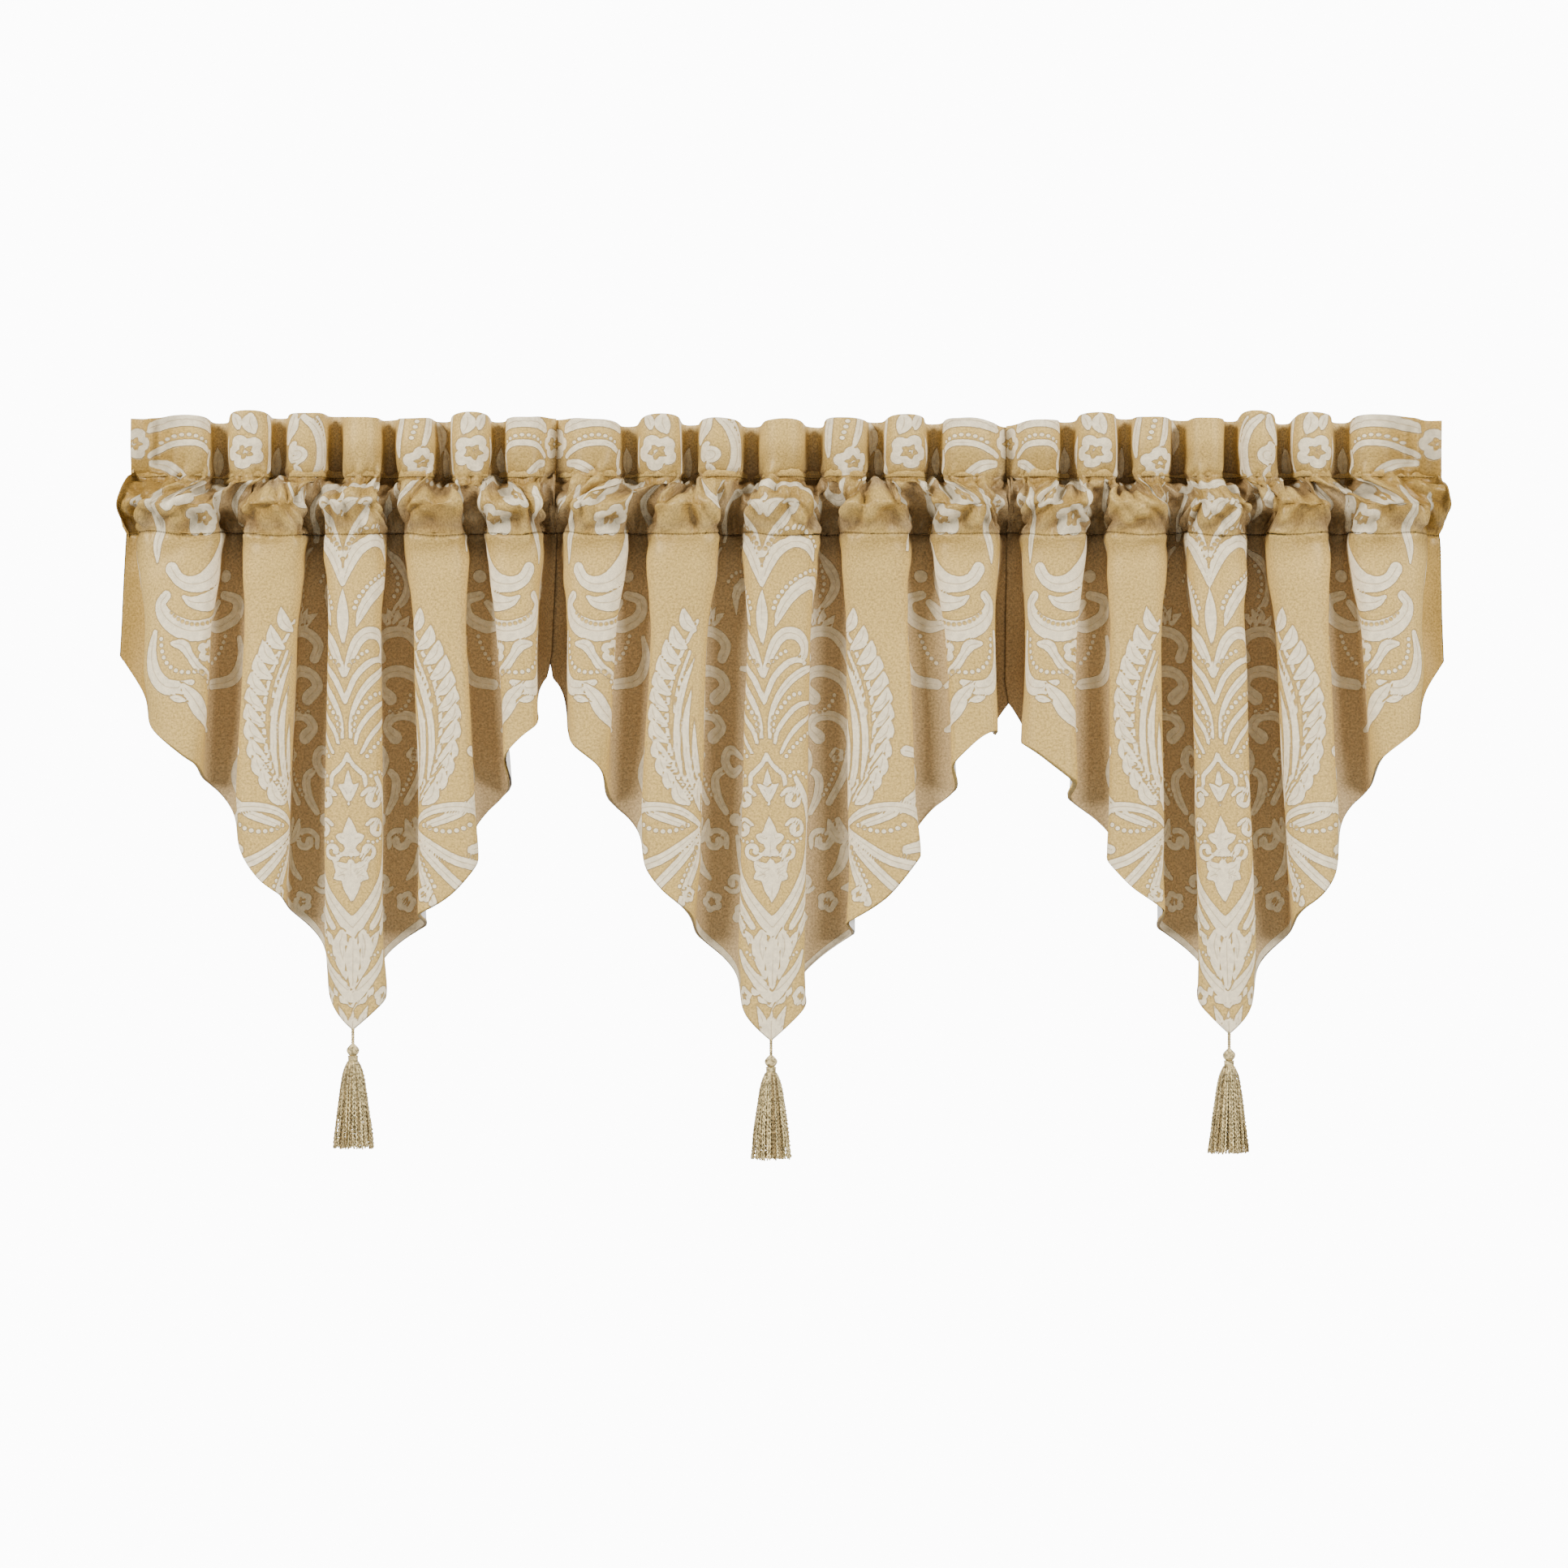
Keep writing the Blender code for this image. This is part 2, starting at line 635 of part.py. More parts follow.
def main():
    clear_scene()
    satin = finish_of("figured satin", SATIN_GOLD)
    white = finish_of("lining cloth", LINING_WHITE)
    silk = finish_of("tassel silk", SILK_GOLD)
    face_offset = (FACE_THICK + LAYER_GAP) / 2
    lining_offset = -(LINING_THICK + LAYER_GAP) / 2
    for name, panel in PANELS.items():
        make_heading(f"heading_{name}", panel, satin)
        make_layer(f"face_{name}", panel, face_offset, FACE_THICK, 1.0, satin)
        make_layer(
            f"lining_{name}", panel, lining_offset, LINING_THICK, LINING_REACH, white
        )
        tip = tip_of(panel)
        cord_top = tip - Vector((0, 0, PIECE_GAP * 2))
        make_cord(f"tassel_cord_{name}", cord_top, silk)
        make_tassel(
            f"tassel_{name}", cord_top - Vector((0, 0, CORD_LONG + PIECE_GAP)), silk
        )


main()
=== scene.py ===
# %% [markdown]
# A row of three ascot valances. Each valance is a pointed panel of figured satin, gathered on a
# rod that isn't part of the object. The top is folded over and sewn twice, which makes a stand-up
# ruffle above a rod pocket. A white lining hangs behind, and a silk tassel hangs from the point.
# This lesson dresses the plain solids of the CAD model: it hangs a fine cloth on the same folds,
# draws the damask on it, and ties the tassels.

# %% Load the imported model
import math
from typing import NamedTuple

import bpy
import numpy as np
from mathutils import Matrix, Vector


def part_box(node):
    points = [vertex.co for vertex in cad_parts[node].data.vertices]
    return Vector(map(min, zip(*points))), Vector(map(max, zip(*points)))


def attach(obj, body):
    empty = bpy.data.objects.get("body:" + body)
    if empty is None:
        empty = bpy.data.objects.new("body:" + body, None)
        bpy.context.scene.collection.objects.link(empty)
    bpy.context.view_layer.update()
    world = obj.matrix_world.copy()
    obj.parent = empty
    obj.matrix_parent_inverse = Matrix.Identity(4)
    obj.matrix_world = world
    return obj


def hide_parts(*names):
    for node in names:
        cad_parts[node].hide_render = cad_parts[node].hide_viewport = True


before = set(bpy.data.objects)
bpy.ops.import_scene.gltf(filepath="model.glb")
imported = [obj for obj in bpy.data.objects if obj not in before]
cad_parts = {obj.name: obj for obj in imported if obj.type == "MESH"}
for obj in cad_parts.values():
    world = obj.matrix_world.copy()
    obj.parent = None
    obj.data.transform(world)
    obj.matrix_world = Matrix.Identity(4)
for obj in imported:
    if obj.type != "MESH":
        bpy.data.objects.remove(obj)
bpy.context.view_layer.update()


# %% [markdown]
# The camera comes first, because every later choice is compared with the photograph through it.
# The photograph was taken from far away at the middle of the panels, so a long lens and no tilt
# do it.

# %% Camera
camera_data = bpy.data.cameras.new("camera")
camera_data.sensor_width = 36.0
camera_data.lens = 131.53
camera = bpy.data.objects.new("camera", camera_data)
camera.location = (-0.00085, -6.0, -0.2924)
camera.rotation_euler = (math.radians(90), 0, 0)
bpy.context.scene.collection.objects.link(camera)
bpy.context.scene.camera = camera
print("camera lens", camera_data.lens, "mm")

# %% [markdown]
# The light is soft and even, so that the folds darken by their own depth. Two wide panels stand
# far to the left and right of the camera: light from the sides reaches the crests of the folds
# and leaves the hollows dim. A third panel lights the back. A pale floor lies well below the
# hanging cloth.


# %% Lights, sky and floor
def add_light(name, place, aim, size, power):
    """A square soft light that looks at a point."""
    data = bpy.data.lights.new(name, "AREA")
    data.shape = "SQUARE"
    data.size = size
    data.energy = power
    lamp = bpy.data.objects.new(name, data)
    lamp.location = place
    lamp.rotation_euler = (
        (Vector(aim) - Vector(place)).to_track_quat("-Z", "Y").to_euler()
    )
    bpy.context.scene.collection.objects.link(lamp)
    return lamp


MIDDLE = (0.0, 0.0, -0.28)
add_light("left panel", (-3.2, -2.5, 1.75), MIDDLE, 1.2, 290.0)
add_light("right panel", (3.2, -2.7, 1.60), MIDDLE, 1.2, 262.0)
add_light("back panel", (0.6, 3.2, 1.4), MIDDLE, 2.2, 100.0)

world = bpy.data.worlds.new("sky")
world.use_nodes = True
sky = world.node_tree
sky.nodes.clear()
seen = sky.nodes.new("ShaderNodeBackground")
seen.inputs["Color"].default_value = (1.0, 1.0, 1.0, 1.0)
seen.inputs["Strength"].default_value = 12.0
lit = sky.nodes.new("ShaderNodeBackground")
lit.inputs["Color"].default_value = (1.0, 0.985, 0.96, 1.0)
lit.inputs["Strength"].default_value = 0.34
path = sky.nodes.new("ShaderNodeLightPath")
either = sky.nodes.new("ShaderNodeMixShader")
end = sky.nodes.new("ShaderNodeOutputWorld")
sky.links.new(path.outputs["Is Camera Ray"], either.inputs[0])
sky.links.new(lit.outputs[0], either.inputs[1])
sky.links.new(seen.outputs[0], either.inputs[2])
sky.links.new(either.outputs[0], end.inputs[0])
bpy.context.scene.world = world

bpy.ops.object.select_all(action="DESELECT")
bpy.ops.mesh.primitive_circle_add(
    vertices=96, radius=2.0, fill_type="NGON", location=(0, 0, -1.4)
)
floor = bpy.context.object
floor.name = "floor"
bpy.ops.object.transform_apply(location=True, rotation=True, scale=True)
floor_paint = bpy.data.materials.new("pale floor")
floor_paint.use_nodes = True
floor_shader = floor_paint.node_tree.nodes["Principled BSDF"]
floor_shader.inputs["Base Color"].default_value = (0.86, 0.86, 0.85, 1.0)
floor_shader.inputs["Roughness"].default_value = 0.8
floor.data.materials.append(floor_paint)
print("lights and floor placed")

# %% [markdown]
# Materials are written as sums. A number that runs through a material is wrapped in a small
# class, so that an expression such as `1 - mask` adds the right Math node by itself. Everything
# else comes from one method that takes a node's type, its settings and its inputs.


# %% Sums that become shader nodes
class Wire:
    """A number that varies over a surface."""

    def __init__(self, board, socket):
        self.board, self.socket = board, socket

    def _sum(self, operation, *values):
        inputs = dict(enumerate(values))
        return self.board.node("ShaderNodeMath", {"operation": operation}, inputs)

    def __add__(self, other):
        return self._sum("ADD", self, other)

    def __sub__(self, other):
        return self._sum("SUBTRACT", self, other)

    def __rsub__(self, other):
        return self._sum("SUBTRACT", other, self)

    def __mul__(self, other):
        return self._sum("MULTIPLY", self, other)

    def __abs__(self):
        return self._sum("ABSOLUTE", self)

    __radd__, __rmul__ = __add__, __mul__

    def part(self):
        """What is left after the whole number is taken away."""
        return self._sum("FRACT", self)

    def sine(self):
        return self._sum("SINE", self)

    def least(self, other):
        return self._sum("MINIMUM", self, other)

    def most(self, other):
        return self._sum("MAXIMUM", self, other)

    def root(self):
        return self._sum("SQRT", self)

    def step(self, start, stop):
        """Eases from 0 at start to 1 at stop."""
        return self.board.node(
            "ShaderNodeMapRange",
            {"interpolation_type": "SMOOTHSTEP"},
            {"Value": self, "From Min": start, "From Max": stop},
        )


class Board:
    """A material's node tree."""

    def __init__(self, name):
        self.material = bpy.data.materials.new(name)
        self.material.use_nodes = True
        self.tree = self.material.node_tree
        self.shader = self.tree.nodes["Principled BSDF"]

    def node(self, kind, settings, inputs, output=0):
        """Adds a node: its settings first, then the values or links of its sockets."""
        made = self.tree.nodes.new(kind)
        for key, value in settings.items():
            setattr(made, key, value)
        for key, value in inputs.items():
            self.feed(made.inputs[key], value)
        return Wire(self, made.outputs[output])

    def feed(self, socket, value):
        """Links a wire to a socket, or sets the socket."""
        if isinstance(value, Wire):
            self.tree.links.new(value.socket, socket)
        elif isinstance(value, tuple) and len(value) == 3 and socket.type == "RGBA":
            socket.default_value = (*value, 1.0)
        else:
            socket.default_value = value

    def attribute(self, name, output=2):
        """A value that is stored on the mesh: output 1 is a vector and 2 is a number."""
        return self.node(
            "ShaderNodeAttribute", {"attribute_name": name}, {}, output
        )

    def split(self, vector):
        """A vector's three numbers."""
        first = self.node("ShaderNodeSeparateXYZ", {}, {0: vector})
        outputs = first.socket.node.outputs
        return [Wire(self, socket) for socket in outputs]

    def join(self, x, y, z=0.0):
        return self.node("ShaderNodeCombineXYZ", {}, {0: x, 1: y, 2: z})

    def noise(self, where, scale, detail=2.0, roughness=0.5):
        """Soft random values around 0.5."""
        inputs = {
            "Vector": where,
            "Scale": scale,
            "Detail": detail,
            "Roughness": roughness,
        }
        return self.node("ShaderNodeTexNoise", {}, inputs)

    def blend(self, share, a, b, how="MIX"):
        """Mixes two colours."""
        settings = {"data_type": "RGBA", "blend_type": how}
        return self.node("ShaderNodeMix", settings, {0: share, 6: a, 7: b}, 2)

    def shade(self, colour, dark, light, share):
        """A colour made darker or lighter by a number from 0 to 1."""
        factor = dark + share * (light - dark)
        grey = self.join(factor, factor, factor)
        return self.blend(1.0, colour, grey, "MULTIPLY")

    def tint(self, colour, by, share):
        """A colour multiplied by another one, as far as the share says."""
        return self.blend(share, colour, self.blend(1.0, colour, by, "MULTIPLY"))

    def bump(self, height, strength=1.0):
        """A surface relief from a height in millimetres."""
        inputs = {"Height": height, "Distance": 0.001, "Strength": strength}
        return self.node("ShaderNodeBump", {}, inputs)

    def finish(self, **sockets):
        """Feeds the shader: an underline in a name stands for a blank."""
        for key, value in sockets.items():
            self.feed(self.shader.inputs[key.replace("_", " ")], value)
        return self.material


print("shader sums ready")

# %% [markdown]
# The folds are measured from the photograph once, in the CAD source, and repeated here. For each
# bend of the gathered cloth there is its place on the flat cloth, where it hangs at the seam and
# at the hem, and how long the cloth is there, in millimetres. Crests are every second bend.


# %% The three panels, in millimetres
class Panel(NamedTuple):
    """One valance: bends are (flat, seam, hem, drop), ruffles are (across, top, dip)."""

    centre: float
    left_flare: float
    right_flare: float
    bends: tuple
    ruffles: tuple


FLAT_STOPS = (-440, -318, -252, -183, -92, 0, 92, 183, 252, 318, 440)


def metres(*table):
    """A table written in millimetres, as an array in metres."""
    return np.array(table, dtype=float).T / 1000


PANELS = {
    "left": Panel(
        -0.450,
        0.0085,
        0.0,
        metres(
            FLAT_STOPS,
            (-242.8, -171.9, -127.9, -81.2, -41.6, 1.5, 40.6, 88.2, 125.9, 168.9, 206.1),
            (-250.3, -178.1, -147.8, -94.9, -53.8, -0.4, 50.1, 99.6, 144.6, 179.3, 198.8),
            (127.4, 232.1, 267.0, 366.5, 408.7, 518.8, 426.3, 379.0, 286.1, 210.7, 149.5),
        ),
        metres(
            (-236.0, -174.1, -110.3, -49.5, 8.3, 63.2, 121.0, 177.8, 205.1),
            (90.1, 92.8, 98.3, 95.8, 91.3, 90.8, 96.3, 92.3, 90.6),
            (0.0, 8.0, 6.0, 0.0, 1.0, 5.0, 6.0, 0.0, 0.0),
        ),
    ),
    "centre": Panel(
        -0.002,
        0.0,
        0.0,
        metres(
            FLAT_STOPS,
            (-239.3, -196.3, -151.5, -105.6, -54.2, 0.0, 49.2, 96.7, 143.5, 189.4, 236.8),
            (-241.6, -207.0, -167.8, -119.9, -70.8, -12.4, 44.2, 106.0, 164.3, 202.6, 236.1),
            (150.5, 231.1, 292.1, 378.5, 437.8, 530.7, 442.8, 382.4, 284.1, 218.2, 178.6),
        ),
        metres(
            (-238.9, -194.4, -127.6, -65.8, 0.0, 64.8, 128.6, 188.4, 236.4),
            (90.1, 89.4, 94.8, 89.9, 89.9, 90.3, 94.3, 90.8, 81.6),
            (0.0, 9.5, 7.0, 6.5, 8.0, 5.5, 7.0, 0.0, 0.0),
        ),
    ),
    "right": Panel(
        0.450,
        0.0,
        0.0085,
        metres(
            FLAT_STOPS,
            (-212.2, -167.9, -122.9, -83.2, -39.6, -1.5, 43.6, 82.2, 129.9, 170.9, 238.8),
            (-213.9, -178.3, -129.5, -83.7, -36.1, 13.3, 64.9, 104.9, 150.3, 184.0, 244.2),
            (176.6, 235.1, 296.2, 374.0, 429.8, 523.8, 434.3, 382.4, 281.1, 227.7, 133.4),
        ),
        metres(
            (-212.6, -183.8, -123.0, -66.2, -9.3, 44.5, 101.3, 164.2, 239.0),
            (82.6, 88.9, 96.3, 91.4, 90.8, 98.3, 96.3, 94.3, 88.6),
            (0.0, 4.0, 4.0, 2.0, 6.0, 12.0, 7.5, 0.0, 0.0),
        ),
    ),
}
print("panels", *PANELS)

# %% [markdown]
# Cloth can't stretch, so a row of it is placed by arc length: between two bends it follows a
# smooth curve that leaves and arrives along the row, and each point of the flat cloth goes as far
# along that curve as it lies across the flat cloth. These are nearly the sums of the CAD source.

# %% How gathered cloth hangs
HALF = 0.440
HEADER_SEAM, DROP_SEAM = 0.029, -0.030
POCKET_TALL, BACK_SEAM, HEADING_CLOTH = 0.059, 0.181, 0.240
POCKET_MM = 59
SEAM_DEPTH, HEADER_DEPTH, DEEPEST = 0.050, 0.036, 0.066
CURVE = np.linspace(0.0, 1.0, 25)


def smooth(share):
    """Eases a share from 0 to 1."""
    share = np.clip(share, 0.0, 1.0)
    return share * share * (3.0 - 2.0 * share)


def bend_curve(dx, dy, reach_a, reach_b):
    """Points of the curve from one bend to the next."""
    one = 1.0 - CURVE
    x = 3 * one * one * CURVE * reach_a + 3 * one * CURVE**2 * (dx - reach_b)
    return x + CURVE**3 * dx, dy * (3 * CURVE**2 - 2 * CURVE**3)


def fold_depth(cloth, dx):
    """How deep a fold is that takes up this much cloth in this much width."""
    low, high = 0.010, DEEPEST
    for _ in range(20):
        middle = (low + high) / 2
        x, y = bend_curve(dx, middle, 1.30 * dx, 1.10 * dx)
        if np.hypot(np.diff(x), np.diff(y)).sum() < cloth:
            low = middle
        else:
            high = middle
    return low


def hem_depths(panel):
    """Where each bend stands at the hem, to the front or the back of the rod's line."""
    flat, _, hem, _ = panel.bends.T
    spans = [fold_depth(*pair) for pair in zip(np.diff(flat), np.diff(hem))]
    beside = [spans[max(i - 1, 0) : i + 1] for i in range(len(flat))]
    halves = np.array([sum(near) / len(near) / 2 for near in beside])
    halves[1::2] *= -1
    return halves


def hung_section(flat, stops, across, depth, crest_round, hollow_round):
    """Where points of the flat cloth lie in plan."""
    last = len(stops) - 2
    k = np.clip(np.searchsorted(stops, flat, side="right") - 1, 0, last)
    row = np.arange(len(flat))
    cloth = stops[k + 1] - stops[k]
    share = (flat - stops[k]) / cloth
    x0, y0 = across[row, k], depth[row, k]
    dx = (across[row, k + 1] - x0)[:, None]
    dy = (depth[row, k + 1] - y0)[:, None]
    high = (k % 2 == 1)[:, None]
    hollow = hollow_round[:, None]
    rounded = (crest_round + np.zeros(len(flat)))[:, None]
    reach_a = dx * np.where(high, rounded, hollow)
    reach_b = dx * np.where(high, hollow, rounded)
    x, y = bend_curve(dx, dy, reach_a, reach_b)
    long = np.cumsum(np.hypot(np.diff(x, axis=1), np.diff(y, axis=1)), axis=1)
    long = np.concatenate([np.zeros((len(flat), 1)), long], axis=1)
    spare = cloth - long[:, -1]
    wanted = np.clip(share * cloth - spare * smooth(share), 0.0, long[:, -1])
    j = np.clip((long < wanted[:, None]).sum(axis=1) - 1, 0, len(CURVE) - 2)
    part = (wanted - long[row, j]) / np.maximum(long[row, j + 1] - long[row, j], 1e-9)
    at_x = x0 + x[row, j] + part * (x[row, j + 1] - x[row, j])
    at_y = y0 + y[row, j] + part * (y[row, j + 1] - y[row, j])
    return at_x, at_y


def facing(x, y):
    """Front normals in plan of one row of points."""
    along_x, along_y = np.gradient(x), np.gradient(y)
    along_y[0] *= 0.5
    along_y[-1] *= 0.5
    size = np.maximum(np.hypot(along_x, along_y), 1e-9)
    return along_y / size, -along_x / size


def drop_length(panel, flat):
    """How far the cloth hangs below the seam."""
    stops, drops = panel.bends[:, 0], panel.bends[:, 3]
    k = np.clip(np.searchsorted(stops, flat, side="right") - 1, 0, len(stops) - 2)
    cloth = stops[k + 1] - stops[k]
    t = np.clip((flat - stops[k]) / cloth, 0, 1)
    way = np.where(stops[k + 1] <= 1e-9, cloth, -cloth)
    from_edge = np.where(k == 0, 1.60, 0.80)
    to_edge = np.where(k == len(stops) - 2, 1.60, 0.80)
    rise = drops[k] + (drops[k + 1] - drops[k]) * smooth(t)
    return rise + way * t * (1 - t) * (from_edge * (1 - t) - to_edge * t)


def drop_section(panel, flat, share):
    """Plan of the hanging cloth at a share of the way from the seam to the hem."""
    stops, seam, hem, _ = panel.bends.T
    crest = np.arange(len(stops)) % 2 == 1
    seam_depth = np.where(crest, -SEAM_DEPTH / 2, SEAM_DEPTH / 2)
    opened = smooth(share * drop_length(panel, flat) / 0.110)
    across = seam + share[:, None] * (hem - seam)
    depth = seam_depth + opened[:, None] * (hem_depths(panel) - seam_depth)
    near = smooth(1 - (1 - share) * drop_length(panel, flat) / 0.060)
    open_side = flat * (1 if panel.centre < 0.1 else -1) < 0
    crest_round = 1.30 - near * np.where(open_side, 0.42, -0.16)
    hollow_round = 0.60 + opened * 0.50 - near * np.where(open_side, 0.30, -0.10)
    x, y = hung_section(flat, stops, across, depth, crest_round, hollow_round)
    return panel.centre + x, y


print("deepest fold", round(float(max(abs(hem_depths(PANELS["centre"])))) * 1000), "mm")


# %% The ruffled header and the rod pocket
def header_stops(panel):
    """The header's ends, crests and the hollows between: flat place, hung place, height."""
    across, tops, dips = panel.ruffles.T
    count = len(across) - 2
    stops = [(-HALF, across[0], tops[0])]
    for i in range(1, count + 1):
        place = (i - 0.5) * 2 * HALF / count - HALF
        stops.append((place, across[i], tops[i]))
        low = (tops[i] + tops[i + 1]) / 2 - dips[i]
        stops.append((place + HALF / count, (across[i] + across[i + 1]) / 2, low))
    stops[-1] = (HALF, across[-1], tops[-1])
    return np.array(stops).T


def header_section(panel, flat):
    """Plan of the ruffled header, and how high it stands."""
    stops, across, tops = header_stops(panel)
    crest = np.arange(len(stops)) % 2 == 1
    depth = np.where(crest, -HEADER_DEPTH / 2, HEADER_DEPTH / 2)
    depth[[0, -1]] = HEADER_DEPTH / 4
    row = np.ones((len(flat), 1))
    x, y = hung_section(
        flat, stops, row * across, row * depth, 1.00, 0.58 * row[:, 0]
    )
    k = np.clip(np.searchsorted(stops, flat, side="right") - 1, 0, len(stops) - 2)
    ease = smooth((flat - stops[k]) / (stops[k + 1] - stops[k]))
    return panel.centre + x, y, tops[k] + ease * (tops[k + 1] - tops[k])


def pocket_row(panel, flat, share, side):
    """A row of the rod pocket, in front of the rod or behind it, before it is offset."""
    top_x, top_y, _ = header_section(panel, flat)
    low_x, low_y = drop_section(panel, flat, np.zeros(len(flat)))
    mix = smooth((share - 0.45) / 0.55)
    x, y = low_x + mix * (top_x - low_x), low_y + mix * (top_y - low_y)
    opened = float(smooth(share / 0.55)) if share < 0.55 else 1.0
    opened *= max(0.0, 1 - max(0.0, (share - 0.50) / 0.50) ** 2.4) ** 0.6
    layer, keeps, spread = (-0.0270, 0.66, 0.16)
    if side < 0:
        opened = max(0.0, 1 - (2 * share - 1) ** 2) ** 0.7
        layer, keeps, spread = (0.0340, 0.15, 0.52)
    y = y + opened * (layer + keeps * y - y)
    x = x + opened * spread * (np.interp(flat, (-HALF, HALF), (x.min(), x.max())) - x)
    for way, flare in ((-1, panel.left_flare), (1, panel.right_flare)):
        near = smooth(1 - (HALF - way * flat) / 0.060)
        x = x + way * opened * flare * near
    z = np.full(len(flat), DROP_SEAM + share * (HEADER_SEAM - DROP_SEAM))
    return x, y, z


print("header stands", round(float(PANELS["left"].ruffles[:, 1].max()) * 1000), "mm up")

# %% [markdown]
# Real satin is never as even as those curves. Soft random folds are added: small puckers where
# the thread gathers the cloth, crumples where the pocket is pushed together, slack scoops just
# under the seam, and a slow waviness in the long folds. They come from one seeded grid of random
# numbers that is read smoothly.

# %% Creases and puckers
SEEDS = {"left": 1.0, "centre": 2.37, "right": 3.71}
OUTER_SIDE = {"left": -1, "centre": 0, "right": 1}
LATTICE = np.random.default_rng(7).random((5, 64, 64))


def drift(x, y, layer):
    """Soft random values from -1 to 1 at places given in grid steps."""
    i, j = np.floor(x).astype(int), np.floor(y).astype(int)
    fx, fy = smooth(x - i), smooth(y - j)
    grid = LATTICE[layer % 5]
    a, b = grid[i % 64, j % 64], grid[(i + 1) % 64, j % 64]
    c, d = grid[i % 64, (j + 1) % 64], grid[(i + 1) % 64, (j + 1) % 64]
    low, high = a + fx * (b - a), c + fx * (d - c)
    return 2 * (low + fy * (high - low)) - 1


def ridge(values):
    """Sharp crests from soft values."""
    return 1 - 2 * np.abs(values)


def crease_height(u, v, seed):
    """How far the cloth stands proud, in millimetres, at flat places in millimetres.

    v runs down from the lower seam, so the pocket is from -59 to 0 and the header is above it.
    """
    far = 37.0 * seed
    puckers = drift(u / 8.5 + far, v / 46 + 3, 0) + 0.5 * drift(u / 4.6, v / 30 + far, 1)
    gathers = ridge(drift((u + 0.35 * v) / 12.5 + far, v / 60 + 3, 2))
    near_drop = np.exp(-np.abs(v) / 12)
    near_header = np.exp(-np.abs(v + POCKET_MM) / np.where(v > -POCKET_MM, 15, 9))
    height = 1.9 * near_drop * puckers + near_header * (2.0 * puckers - 4.6 * gathers)
    warp = 9 * drift(u / 40 + far, v / 40, 2)
    crumple = -ridge(drift((u + warp) / 30 + far, (v + 0.5 * u) / 22, 3))
    crumple = crumple - 0.7 * ridge(drift((u - warp) / 24, (v - 0.6 * u) / 18 + far, 4))
    in_pocket = smooth((v + 62) / 14) * smooth((3 - v) / 14)
    height = height + 5.4 * in_pocket * crumple
    scoop = drift((u + 0.5 * v) / 30 + far, v / 26 + 7, 1)
    below = smooth(v / 12) * np.exp(-np.maximum(v, 0) / 42)
    height = height + 3.6 * below * scoop
    slow = drift(u / 55 + far, v / 130 + 1, 2) + 0.5 * drift(u / 27, v / 80 + far, 0)
    height = height + 1.9 * smooth(v / 60) * slow
    above = smooth((-POCKET_MM - v) / 18) * smooth((v + 130) / 12)
    height = height + 1.1 * above * drift(u / 24 + far, v / 30, 4)
    height = height - 0.9 * np.exp(-((v / 2.0) ** 2))
    return height - 3.6 * np.exp(-(((v + POCKET_MM) / 3.2) ** 2))


def end_furrow(name, u, v):
    """The deep fold beside the header's flap at each end of the row, in millimetres."""
    way = OUTER_SIDE[name]
    up = smooth((-62 - v) / 12) * smooth((v + 180) / 12)
    return 15.0 * abs(way) * up * np.exp(-(((u - way * 404) / 8.5) ** 2))


def seam_wave(u, v, seed):
    """How far the sewn lines wander up and down, in millimetres."""
    far = 19.0 * seed
    low = np.exp(-((v / 20) ** 2)) * drift(u / 46 + far, np.zeros_like(u) + 2.5, 1)
    high = np.exp(-(((v + POCKET_MM) / 16) ** 2)) * drift(
        u / 38 + far, np.zeros_like(u) + 5.5, 3
    )
    top = smooth((-100 - v) / 20) * drift(u / 21 + far, np.zeros_like(u) + 8.5, 0)
    off = np.abs(np.abs(np.abs(u) - 159) - 159)
    off = np.minimum(off, np.abs(np.abs(u) - 183))
    sag = -3.0 * np.exp(-((v / 12) ** 2)) * smooth(1 - off / 45)
    return 2.4 * low + 4.6 * high + 1.2 * top + sag


print("puckers", np.round(crease_height(np.arange(0.0, 40, 8), np.zeros(5), 1), 1))

# %% [markdown]
# The damask is a traditional one of the acanthus, laurel and scroll kind. It is drawn here, in
# millimetres on the flat cloth, from a few sorts of stroke: a band of changing width along a curve,
# a leaf, a five-petal flower, a curl, and a row of beads. Each stroke answers how deep inside it a
# point lies, so the edges stay crisp between the points of the cloth. A later stroke lies over the
# earlier ones with a narrow line of ground around it.


# %% Strokes
def through(points, steps=8):
    """A smooth curve through the given points."""
    points = np.array(points, dtype=float)
    ends = np.vstack([2 * points[0] - points[1], points, 2 * points[-1] - points[-2]])
    t = np.linspace(0, 1, steps, endpoint=False)[:, None]
    spans = []
    for a, b, c, d in zip(ends, ends[1:], ends[2:], ends[3:]):
        bent = (2 * a - 5 * b + 4 * c - d) * t * t + (3 * b - a - 3 * c + d) * t**3
        spans.append(b + 0.5 * ((c - a) * t + bent))
    return np.vstack([*spans, points[-1:]])


def along_line(x, y, line):
    """For each point and piece of a line: distance, share of the piece, and which side."""
    a, b = line[:-1, :2], line[1:, :2]
    step = b - a
    size = np.maximum((step**2).sum(axis=1), 1e-9)
    px, py = x[:, None] - a[:, 0], y[:, None] - a[:, 1]
    t = np.clip((px * step[:, 0] + py * step[:, 1]) / size, 0, 1)
    away = np.hypot(px - t * step[:, 0], py - t * step[:, 1])
    side = px * step[:, 1] - py * step[:, 0]
    return away, t, side, np.sqrt(size)


